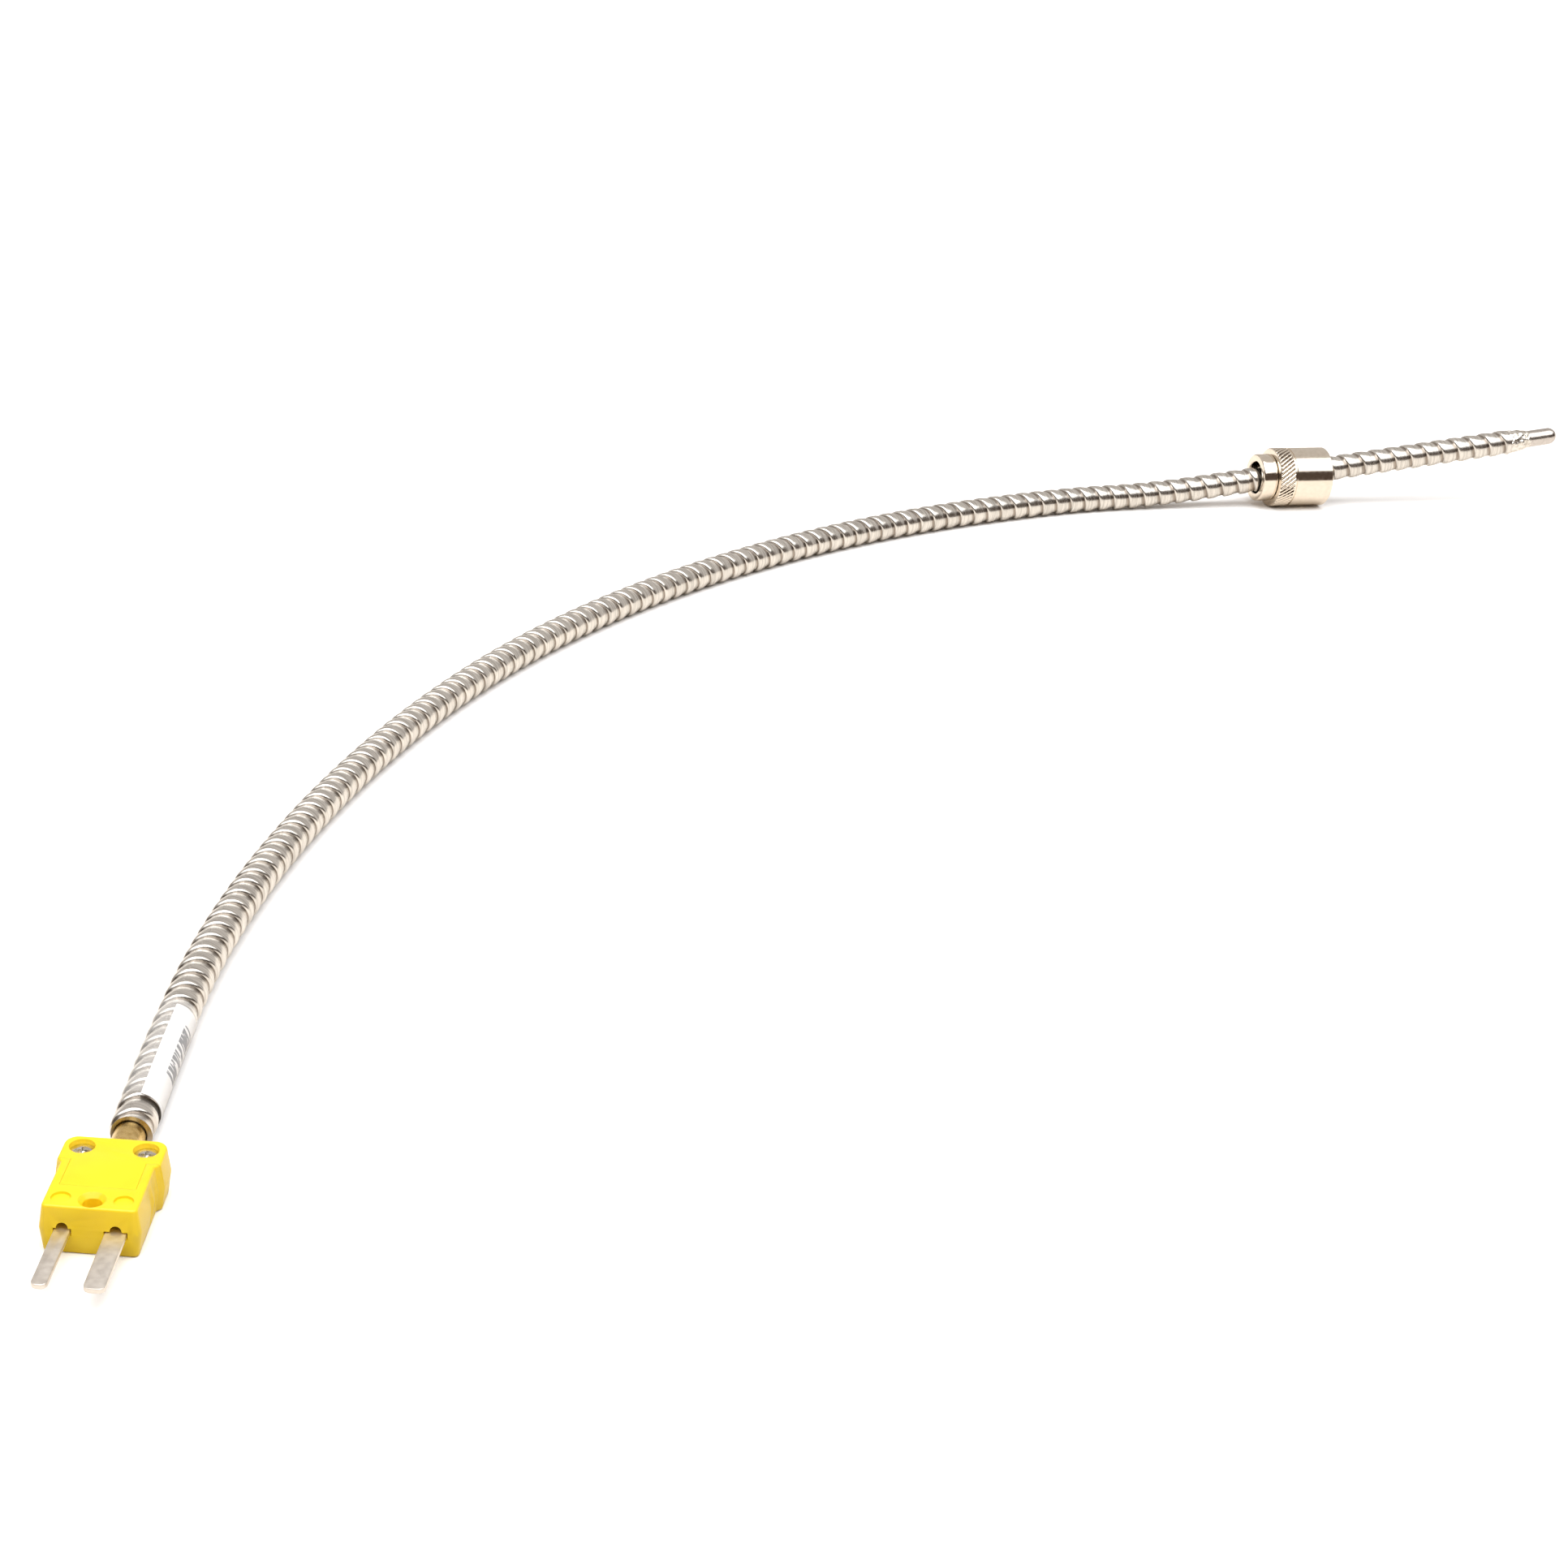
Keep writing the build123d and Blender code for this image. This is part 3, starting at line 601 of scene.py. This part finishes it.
def worked_metal(name, color, dark, roughness, spread, streaks, bump):
    """Bare metal with machining lines, cloudy gloss and painted shade darkening its cuts."""
    material = bpy.data.materials.new(name)
    material.use_nodes = True
    tree = material.node_tree
    tree.nodes.clear()
    output = tree.nodes.new("ShaderNodeOutputMaterial")
    output.label = "surface"
    surface = tree.nodes.new("ShaderNodeBsdfPrincipled")
    surface.label = "bare metal"
    place = tree.nodes.new("ShaderNodeTexCoord")
    place.label = "position on the piece"
    stretch = tree.nodes.new("ShaderNodeMapping")
    stretch.label = "machining direction"
    lines = tree.nodes.new("ShaderNodeTexNoise")
    lines.label = "machining lines"
    clouds = tree.nodes.new("ShaderNodeTexNoise")
    clouds.label = "handling marks"
    cuts = tree.nodes.new("ShaderNodeAttribute")
    cuts.label = "depth of the cuts"
    tone = tree.nodes.new("ShaderNodeValToRGB")
    tone.label = "metal tone"
    painted_shade = tree.nodes.new("ShaderNodeValToRGB")
    painted_shade.label = "grime in the cuts"
    shade = tree.nodes.new("ShaderNodeMix")
    shade.label = "metal under grime"
    gloss = tree.nodes.new("ShaderNodeMapRange")
    gloss.label = "gloss range"
    relief = tree.nodes.new("ShaderNodeBump")
    relief.label = "line relief"
    lay_out(
        tree,
        [
            ("where", [place, stretch, cuts]),
            ("marks", [lines, clouds]),
            ("tone and gloss", [tone, painted_shade, gloss, relief]),
            ("result", [shade, surface, output]),
        ],
    )
    cuts.attribute_name = "valley"
    # painted shade: where the valley attribute marks a cut (the knurl), the metal's colour is
    # multiplied towards dark brown
    painted_shade.color_ramp.elements[0].position = 0.15
    painted_shade.color_ramp.elements[0].color = (1, 1, 1, 1)
    painted_shade.color_ramp.elements[1].position = 0.75
    painted_shade.color_ramp.elements[1].color = (0.30, 0.25, 0.20, 1)
    shade.data_type = "RGBA"
    shade.blend_type = "MULTIPLY"
    shade.inputs["Factor"].default_value = 1.0
    stretch.inputs["Scale"].default_value = streaks
    lines.inputs["Scale"].default_value = 1.0
    lines.inputs["Detail"].default_value = 4.0
    clouds.inputs["Scale"].default_value = 900.0
    clouds.inputs["Detail"].default_value = 3.0
    tone.color_ramp.elements[0].position = 0.32
    tone.color_ramp.elements[0].color = (*dark, 1)
    tone.color_ramp.elements[1].position = 0.62
    tone.color_ramp.elements[1].color = (*color, 1)
    gloss.inputs["From Min"].default_value = 0.3
    gloss.inputs["From Max"].default_value = 0.7
    gloss.inputs["To Min"].default_value = roughness
    gloss.inputs["To Max"].default_value = roughness + spread
    relief.inputs["Strength"].default_value = bump
    relief.inputs["Distance"].default_value = 0.00004
    surface.inputs["Metallic"].default_value = 1.0
    link = tree.links.new
    link(place.outputs["Object"], stretch.inputs["Vector"])
    link(stretch.outputs["Vector"], lines.inputs["Vector"])
    link(place.outputs["Object"], clouds.inputs["Vector"])
    link(clouds.outputs["Fac"], tone.inputs["Fac"])
    link(tone.outputs["Color"], shade.inputs["A"])
    link(cuts.outputs["Fac"], painted_shade.inputs["Fac"])
    link(painted_shade.outputs["Color"], shade.inputs["B"])
    link(shade.outputs["Result"], surface.inputs["Base Color"])
    link(clouds.outputs["Fac"], gloss.inputs["Value"])
    link(gloss.outputs["Result"], surface.inputs["Roughness"])
    link(lines.outputs["Fac"], relief.inputs["Height"])
    link(relief.outputs["Normal"], surface.inputs["Normal"])
    link(surface.outputs["BSDF"], output.inputs["Surface"])
    return material


def drawn_strip(name):
    """Stainless strip: fine lines along its length, and painted shade where one turn laps the next."""
    material = bpy.data.materials.new(name)
    material.use_nodes = True
    tree = material.node_tree
    tree.nodes.clear()
    output = tree.nodes.new("ShaderNodeOutputMaterial")
    output.label = "surface"
    surface = tree.nodes.new("ShaderNodeBsdfPrincipled")
    surface.label = "stainless strip"
    place = tree.nodes.new("ShaderNodeUVMap")
    place.label = "across and along the strip"
    place.uv_map = "strip"
    stretch = tree.nodes.new("ShaderNodeMapping")
    stretch.label = "rolling direction"
    lines = tree.nodes.new("ShaderNodeTexNoise")
    lines.label = "rolling lines"
    clouds = tree.nodes.new("ShaderNodeTexNoise")
    clouds.label = "handling marks"
    depth = tree.nodes.new("ShaderNodeAttribute")
    depth.label = "depth of the winding"
    tone = tree.nodes.new("ShaderNodeValToRGB")
    tone.label = "steel tone"
    painted_shade = tree.nodes.new("ShaderNodeValToRGB")
    painted_shade.label = "grime in the lap"
    shade = tree.nodes.new("ShaderNodeMix")
    shade.label = "steel under grime"
    gloss = tree.nodes.new("ShaderNodeMapRange")
    gloss.label = "gloss range"
    relief = tree.nodes.new("ShaderNodeBump")
    relief.label = "line relief"
    lay_out(
        tree,
        [
            ("where", [place, stretch, depth]),
            ("marks", [lines, clouds]),
            ("tone and gloss", [tone, painted_shade, gloss, relief]),
            ("result", [shade, surface, output]),
        ],
    )
    stretch.inputs["Scale"].default_value = (9.0, 0.07, 1.0)
    lines.inputs["Scale"].default_value = 1.0
    lines.inputs["Detail"].default_value = 3.0
    clouds.inputs["Scale"].default_value = 0.35
    clouds.inputs["Detail"].default_value = 3.0
    depth.attribute_name = "valley"
    tone.color_ramp.elements[0].position = 0.35
    tone.color_ramp.elements[0].color = (0.56, 0.54, 0.51, 1)
    tone.color_ramp.elements[1].position = 0.60
    tone.color_ramp.elements[1].color = (0.78, 0.755, 0.72, 1)
    # painted shade: the deepest part of the winding, where one turn laps the next, is darkened towards
    # brown
    painted_shade.color_ramp.elements[0].position = 0.80
    painted_shade.color_ramp.elements[0].color = (1, 1, 1, 1)
    painted_shade.color_ramp.elements[1].position = 1.0
    painted_shade.color_ramp.elements[1].color = (0.42, 0.37, 0.33, 1)
    shade.data_type = "RGBA"
    shade.blend_type = "MULTIPLY"
    shade.inputs["Factor"].default_value = 1.0
    gloss.inputs["From Min"].default_value = 0.3
    gloss.inputs["From Max"].default_value = 0.7
    gloss.inputs["To Min"].default_value = 0.19
    gloss.inputs["To Max"].default_value = 0.30
    relief.inputs["Strength"].default_value = 0.12
    relief.inputs["Distance"].default_value = 0.00002
    surface.inputs["Metallic"].default_value = 1.0
    link = tree.links.new
    link(place.outputs["UV"], stretch.inputs["Vector"])
    link(stretch.outputs["Vector"], lines.inputs["Vector"])
    link(place.outputs["UV"], clouds.inputs["Vector"])
    link(clouds.outputs["Fac"], tone.inputs["Fac"])
    link(depth.outputs["Fac"], painted_shade.inputs["Fac"])
    link(tone.outputs["Color"], shade.inputs["A"])
    link(painted_shade.outputs["Color"], shade.inputs["B"])
    link(shade.outputs["Result"], surface.inputs["Base Color"])
    link(lines.outputs["Fac"], gloss.inputs["Value"])
    link(gloss.outputs["Result"], surface.inputs["Roughness"])
    link(lines.outputs["Fac"], relief.inputs["Height"])
    link(relief.outputs["Normal"], surface.inputs["Normal"])
    link(surface.outputs["BSDF"], output.inputs["Surface"])
    return material


def moulded_plastic(name, color, shade, roughness, grain):
    """Moulded thermoset: fine sparkle-free grain, slow colour drift, satin gloss."""
    material = bpy.data.materials.new(name)
    material.use_nodes = True
    tree = material.node_tree
    tree.nodes.clear()
    output = tree.nodes.new("ShaderNodeOutputMaterial")
    output.label = "surface"
    surface = tree.nodes.new("ShaderNodeBsdfPrincipled")
    surface.label = "plastic"
    place = tree.nodes.new("ShaderNodeTexCoord")
    place.label = "position on the piece"
    drift = tree.nodes.new("ShaderNodeTexNoise")
    drift.label = "colour drift"
    skin = tree.nodes.new("ShaderNodeTexNoise")
    skin.label = "mould grain"
    tone = tree.nodes.new("ShaderNodeValToRGB")
    tone.label = "plastic tone"
    gloss = tree.nodes.new("ShaderNodeMapRange")
    gloss.label = "gloss range"
    relief = tree.nodes.new("ShaderNodeBump")
    relief.label = "grain relief"
    lay_out(
        tree,
        [
            ("where", [place]),
            ("marks", [drift, skin]),
            ("tone and gloss", [tone, gloss, relief]),
            ("result", [surface, output]),
        ],
    )
    drift.inputs["Scale"].default_value = 220.0
    drift.inputs["Detail"].default_value = 3.0
    skin.inputs["Scale"].default_value = grain
    skin.inputs["Detail"].default_value = 5.0
    tone.color_ramp.elements[0].position = 0.3
    tone.color_ramp.elements[0].color = (*shade, 1)
    tone.color_ramp.elements[1].position = 0.65
    tone.color_ramp.elements[1].color = (*color, 1)
    gloss.inputs["To Min"].default_value = roughness - 0.06
    gloss.inputs["To Max"].default_value = roughness + 0.08
    relief.inputs["Strength"].default_value = 0.25
    relief.inputs["Distance"].default_value = 0.00003
    surface.inputs["Subsurface Weight"].default_value = 0.05
    surface.inputs["Subsurface Scale"].default_value = 0.001
    surface.inputs["Subsurface Radius"].default_value = (1.0, 0.7, 0.15)
    link = tree.links.new
    link(place.outputs["Object"], drift.inputs["Vector"])
    link(place.outputs["Object"], skin.inputs["Vector"])
    link(drift.outputs["Fac"], tone.inputs["Fac"])
    link(tone.outputs["Color"], surface.inputs["Base Color"])
    link(skin.outputs["Fac"], gloss.inputs["Value"])
    link(gloss.outputs["Result"], surface.inputs["Roughness"])
    link(skin.outputs["Fac"], relief.inputs["Height"])
    link(relief.outputs["Normal"], surface.inputs["Normal"])
    link(surface.outputs["BSDF"], output.inputs["Surface"])
    return material


def printed_film(name):
    """White label film with a row of meaningless grey strokes along the armour."""
    material = bpy.data.materials.new(name)
    material.use_nodes = True
    tree = material.node_tree
    tree.nodes.clear()
    output = tree.nodes.new("ShaderNodeOutputMaterial")
    output.label = "surface"
    surface = tree.nodes.new("ShaderNodeBsdfPrincipled")
    surface.label = "label film"
    place = tree.nodes.new("ShaderNodeUVMap")
    place.label = "along and round"
    place.uv_map = "film"
    parts = tree.nodes.new("ShaderNodeSeparateXYZ")
    parts.label = "split"
    stretch = tree.nodes.new("ShaderNodeMapping")
    stretch.label = "stroke spacing"
    strokes = tree.nodes.new("ShaderNodeTexNoise")
    strokes.label = "strokes"
    inked = tree.nodes.new("ShaderNodeMath")
    inked.label = "where ink is"
    band_low = tree.nodes.new("ShaderNodeMath")
    band_low.label = "row's lower edge"
    band_high = tree.nodes.new("ShaderNodeMath")
    band_high.label = "row's upper edge"
    run_low = tree.nodes.new("ShaderNodeMath")
    run_low.label = "row's start"
    run_high = tree.nodes.new("ShaderNodeMath")
    run_high.label = "row's end"
    across = tree.nodes.new("ShaderNodeMath")
    across.label = "inside the row"
    along = tree.nodes.new("ShaderNodeMath")
    along.label = "inside its length"
    inside = tree.nodes.new("ShaderNodeMath")
    inside.label = "inside the print"
    ink = tree.nodes.new("ShaderNodeMath")
    ink.label = "ink"
    tint = tree.nodes.new("ShaderNodeMix")
    tint.label = "white or grey"
    lay_out(
        tree,
        [
            ("where", [place, parts, stretch]),
            ("print area", [band_low, band_high, run_low, run_high]),
            ("strokes", [strokes, inked]),
            ("mask", [across, along, inside, ink]),
            ("result", [tint, surface, output]),
        ],
    )
    stretch.inputs["Scale"].default_value = (34.0, 2.6, 1.0)
    strokes.inputs["Scale"].default_value = 1.0
    strokes.inputs["Detail"].default_value = 1.0
    inked.operation = "GREATER_THAN"
    inked.inputs[1].default_value = 0.47
    band_low.operation = "GREATER_THAN"
    band_low.inputs[1].default_value = 0.30
    band_high.operation = "LESS_THAN"
    band_high.inputs[1].default_value = 0.62
    run_low.operation = "GREATER_THAN"
    run_low.inputs[1].default_value = 0.30
    run_high.operation = "LESS_THAN"
    run_high.inputs[1].default_value = 0.84
    across.operation = "MULTIPLY"
    along.operation = "MULTIPLY"
    inside.operation = "MULTIPLY"
    ink.operation = "MULTIPLY"
    tint.data_type = "RGBA"
    tint.inputs["A"].default_value = (0.93, 0.93, 0.94, 1)
    tint.inputs["B"].default_value = (0.13, 0.14, 0.17, 1)
    surface.inputs["Roughness"].default_value = 0.35
    link = tree.links.new
    link(place.outputs["UV"], parts.inputs["Vector"])
    link(place.outputs["UV"], stretch.inputs["Vector"])
    link(stretch.outputs["Vector"], strokes.inputs["Vector"])
    link(strokes.outputs["Fac"], inked.inputs[0])
    link(parts.outputs["Y"], band_low.inputs[0])
    link(parts.outputs["Y"], band_high.inputs[0])
    link(parts.outputs["X"], run_low.inputs[0])
    link(parts.outputs["X"], run_high.inputs[0])
    link(band_low.outputs["Value"], across.inputs[0])
    link(band_high.outputs["Value"], across.inputs[1])
    link(run_low.outputs["Value"], along.inputs[0])
    link(run_high.outputs["Value"], along.inputs[1])
    link(across.outputs["Value"], inside.inputs[0])
    link(along.outputs["Value"], inside.inputs[1])
    link(inside.outputs["Value"], ink.inputs[0])
    link(inked.outputs["Value"], ink.inputs[1])
    link(ink.outputs["Value"], tint.inputs["Factor"])
    link(tint.outputs["Result"], surface.inputs["Base Color"])
    link(surface.outputs["BSDF"], output.inputs["Surface"])
    return material


def clear_film(name):
    """Thin clear heat-shrink: a faint gloss over what it covers."""
    material = bpy.data.materials.new(name)
    material.use_nodes = True
    tree = material.node_tree
    tree.nodes.clear()
    output = tree.nodes.new("ShaderNodeOutputMaterial")
    output.label = "surface"
    surface = tree.nodes.new("ShaderNodeBsdfPrincipled")
    surface.label = "clear film"
    place = tree.nodes.new("ShaderNodeTexCoord")
    place.label = "position on the piece"
    wrinkles = tree.nodes.new("ShaderNodeTexNoise")
    wrinkles.label = "shrink wrinkles"
    relief = tree.nodes.new("ShaderNodeBump")
    relief.label = "wrinkle relief"
    lay_out(tree, [("where", [place]), ("wrinkles", [wrinkles, relief]), ("result", [surface, output])])
    wrinkles.inputs["Scale"].default_value = 420.0
    wrinkles.inputs["Detail"].default_value = 2.0
    relief.inputs["Strength"].default_value = 0.15
    relief.inputs["Distance"].default_value = 0.0001
    surface.inputs["Base Color"].default_value = (0.95, 0.95, 0.95, 1)
    surface.inputs["Roughness"].default_value = 0.08
    surface.inputs["Alpha"].default_value = 0.12
    surface.inputs["IOR"].default_value = 1.45
    link = tree.links.new
    link(place.outputs["Object"], wrinkles.inputs["Vector"])
    link(wrinkles.outputs["Fac"], relief.inputs["Height"])
    link(relief.outputs["Normal"], surface.inputs["Normal"])
    link(surface.outputs["BSDF"], output.inputs["Surface"])
    return material


armour_steel = drawn_strip("armour_steel")
tip_steel = worked_metal(
    "tip_steel", (0.64, 0.60, 0.575), (0.55, 0.515, 0.49), 0.20, 0.1, (900, 120, 120), 0.06
)
braze_metal = worked_metal(
    "braze_metal", (0.86, 0.84, 0.80), (0.50, 0.46, 0.40), 0.18, 0.2, (700, 700, 700), 0.4
)
nickel = worked_metal(
    "nickel", (0.86, 0.785, 0.69), (0.80, 0.725, 0.63), 0.09, 0.06, (60, 900, 900), 0.03
)
brass = worked_metal(
    "brass", (0.86, 0.63, 0.27), (0.66, 0.45, 0.16), 0.20, 0.12, (400, 400, 1800), 0.15
)
blade_metal = worked_metal(
    "blade_metal", (0.80, 0.755, 0.70), (0.73, 0.685, 0.63), 0.36, 0.08, (300, 60, 300), 0.15
)
screw_steel = worked_metal(
    "screw_steel", (0.80, 0.79, 0.77), (0.58, 0.56, 0.54), 0.15, 0.15, (900, 900, 900), 0.1
)
spring_steel = worked_metal(
    "spring_steel", (0.5, 0.5, 0.5), (0.3, 0.3, 0.3), 0.25, 0.15, (900, 900, 900), 0.1
)
wire_metal = worked_metal(
    "wire_metal", (0.68, 0.65, 0.6), (0.5, 0.48, 0.44), 0.3, 0.15, (900, 900, 900), 0.1
)
plug_yellow = moulded_plastic("plug_yellow", (0.96, 0.68, 0.012), (0.93, 0.64, 0.010), 0.30, 2600.0)
yellow_braid = moulded_plastic("yellow_braid", (0.85, 0.66, 0.08), (0.7, 0.5, 0.05), 0.6, 3000.0)
red_braid = moulded_plastic("red_braid", (0.6, 0.06, 0.04), (0.45, 0.04, 0.03), 0.6, 3000.0)
alumina = moulded_plastic("alumina", (0.86, 0.84, 0.78), (0.78, 0.75, 0.7), 0.5, 3000.0)
label_white = printed_film("label_white")
sleeve_clear = clear_film("sleeve_clear")


def finish_with(piece, material):
    piece.data.materials.clear()
    piece.data.materials.append(material)


# --- what each new piece rides on, replaces and is made of --------------------------------------
STATIC = "probe_and_lead"
new_pieces = [
    (lead, STATIC, "armour_lead", armour_steel, "armour_steel"),
    (probe, STATIC, "probe_armour", armour_steel, "armour_steel"),
    (shell, "shell", "cap_shell", nickel, "nickel"),
    (collar, "collar", "cap_collar", nickel, "nickel"),
    (tip, STATIC, "probe_tip", tip_steel, "tip_steel"),
    (braze, STATIC, "probe_braze", braze_metal, "braze"),
    (plug_body, STATIC, "plug_body", plug_yellow, "plug_yellow"),
    (plug_cover, STATIC, "plug_cover", plug_yellow, "plug_yellow"),
    (pins["pin_positive"], STATIC, "pin_positive", blade_metal, "blade_metal"),
    (pins["pin_negative"], STATIC, "pin_negative", blade_metal, "blade_metal"),
    (screws, STATIC, "cover_screws", screw_steel, "screw_steel"),
    (label, STATIC, "wire_label", label_white, "label_white"),
    (sleeve, STATIC, "heat_shrink_sleeve", sleeve_clear, "sleeve_clear"),
]
for piece, body, node, material, slot in new_pieces:
    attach(piece, body)
    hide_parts(node)
    finish_with(piece, material)

kept_nodes = {
    "brass_adapter": brass,
    "thrust_washer": spring_steel,
    "snap_ring": spring_steel,
    "tip_insulator": alumina,
    "junction_bead": wire_metal,
    "conductor_positive": wire_metal,
    "conductor_negative": wire_metal,
    "insulation_positive": yellow_braid,
    "insulation_negative": red_braid,
    "terminal_screws": screw_steel,
    "terminal_washers": screw_steel,
    "cover_nuts": screw_steel,
}
for node, material in kept_nodes.items():
    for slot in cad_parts[node].material_slots:
        slot.material = material


# --- floor, light and surroundings --------------------------------------------------------------
def pale_floor():
    """White paper that gives the metal a warmer, duller bounce than its own white."""
    bpy.ops.object.select_all(action="DESELECT")
    bpy.ops.mesh.primitive_plane_add(size=9.0, location=(0, 0.8, BENCH - 0.02 * MM))
    floor = bpy.context.object
    floor.name = "floor"
    material = bpy.data.materials.new("white_paper")
    material.use_nodes = True
    tree = material.node_tree
    tree.nodes.clear()
    output = tree.nodes.new("ShaderNodeOutputMaterial")
    output.label = "surface"
    paper = tree.nodes.new("ShaderNodeBsdfDiffuse")
    paper.label = "paper"
    path = tree.nodes.new("ShaderNodeLightPath")
    path.label = "seen directly"
    bounce = tree.nodes.new("ShaderNodeMix")
    bounce.label = "dull or mirrored bounce"
    tint = tree.nodes.new("ShaderNodeMix")
    tint.label = "white or bounce"
    lay_out(tree, [("paper", [path, bounce, tint]), ("result", [paper, output])])
    bounce.data_type = "RGBA"
    bounce.inputs["A"].default_value = (0.46, 0.44, 0.41, 1)
    bounce.inputs["B"].default_value = (0.86, 0.81, 0.75, 1)
    tint.data_type = "RGBA"
    tint.inputs["B"].default_value = (1.05, 1.06, 1.085, 1)
    link = tree.links.new
    link(path.outputs["Is Glossy Ray"], bounce.inputs["Factor"])
    link(bounce.outputs["Result"], tint.inputs["A"])
    link(path.outputs["Is Camera Ray"], tint.inputs["Factor"])
    link(tint.outputs["Result"], paper.inputs["Color"])
    link(paper.outputs["BSDF"], output.inputs["Surface"])
    floor.data.materials.append(material)


def soft_light(name, place, target, size, power):
    data = bpy.data.lights.new(name, "AREA")
    data.shape = "RECTANGLE"
    data.size, data.size_y = size
    data.energy = power
    light = bpy.data.objects.new(name, data)
    bpy.context.collection.objects.link(light)
    aim = Vector(target) - Vector(place)
    light.rotation_euler = aim.to_track_quat("-Z", "Y").to_euler()
    light.location = place


def surroundings():
    """A white box high in front, a dark room under it and a tan wall behind, on a white backdrop."""
    world = bpy.data.worlds.new("room")
    bpy.context.scene.world = world
    world.use_nodes = True
    tree = world.node_tree
    tree.nodes.clear()
    output = tree.nodes.new("ShaderNodeOutputWorld")
    output.label = "room"
    place = tree.nodes.new("ShaderNodeTexCoord")
    place.label = "direction"
    parts = tree.nodes.new("ShaderNodeSeparateXYZ")
    parts.label = "height and depth"
    high = tree.nodes.new("ShaderNodeMapRange")
    high.label = "above the box's lower edge"
    behind = tree.nodes.new("ShaderNodeMapRange")
    behind.label = "behind the box"
    dark = tree.nodes.new("ShaderNodeBackground")
    dark.label = "dark room"
    box = tree.nodes.new("ShaderNodeBackground")
    box.label = "light box"
    wall = tree.nodes.new("ShaderNodeBackground")
    wall.label = "tan wall"
    backdrop = tree.nodes.new("ShaderNodeBackground")
    backdrop.label = "white backdrop"
    front = tree.nodes.new("ShaderNodeMixShader")
    front.label = "front of the room"
    room = tree.nodes.new("ShaderNodeMixShader")
    room.label = "whole room"
    path = tree.nodes.new("ShaderNodeLightPath")
    path.label = "seen directly"
    choose = tree.nodes.new("ShaderNodeMixShader")
    choose.label = "backdrop or room"
    lay_out(
        tree,
        [
            ("direction", [place, parts]),
            ("zones", [high, behind]),
            ("light", [dark, box, wall, backdrop]),
            ("room", [front, room]),
            ("result", [path, choose, output]),
        ],
    )
    high.inputs["From Min"].default_value = 0.52
    high.inputs["From Max"].default_value = 0.60
    behind.inputs["From Min"].default_value = 0.0
    behind.inputs["From Max"].default_value = 0.08
    dark.inputs["Color"].default_value = (0.085, 0.060, 0.045, 1)
    box.inputs["Color"].default_value = (1.0, 0.985, 0.96, 1)
    box.inputs["Strength"].default_value = 2.3
    wall.inputs["Color"].default_value = (0.62, 0.575, 0.53, 1)
    backdrop.inputs["Color"].default_value = (1, 1, 1, 1)
    backdrop.inputs["Strength"].default_value = 1.1
    link = tree.links.new
    link(place.outputs["Generated"], parts.inputs["Vector"])
    link(parts.outputs["Z"], high.inputs["Value"])
    link(parts.outputs["Y"], behind.inputs["Value"])
    link(high.outputs["Result"], front.inputs["Fac"])
    link(dark.outputs["Background"], front.inputs[1])
    link(box.outputs["Background"], front.inputs[2])
    link(behind.outputs["Result"], room.inputs["Fac"])
    link(front.outputs["Shader"], room.inputs[1])
    link(wall.outputs["Background"], room.inputs[2])
    link(path.outputs["Is Camera Ray"], choose.inputs["Fac"])
    link(room.outputs["Shader"], choose.inputs[1])
    link(backdrop.outputs["Background"], choose.inputs[2])
    link(choose.outputs["Shader"], output.inputs["Surface"])


pale_floor()
surroundings()
soft_light("overhead", (-0.22, -0.35, 1.25), (-0.2, -0.12, 0), (1.3, 1.0), 9.0)
bpy.context.scene.view_settings.view_transform = "Standard"
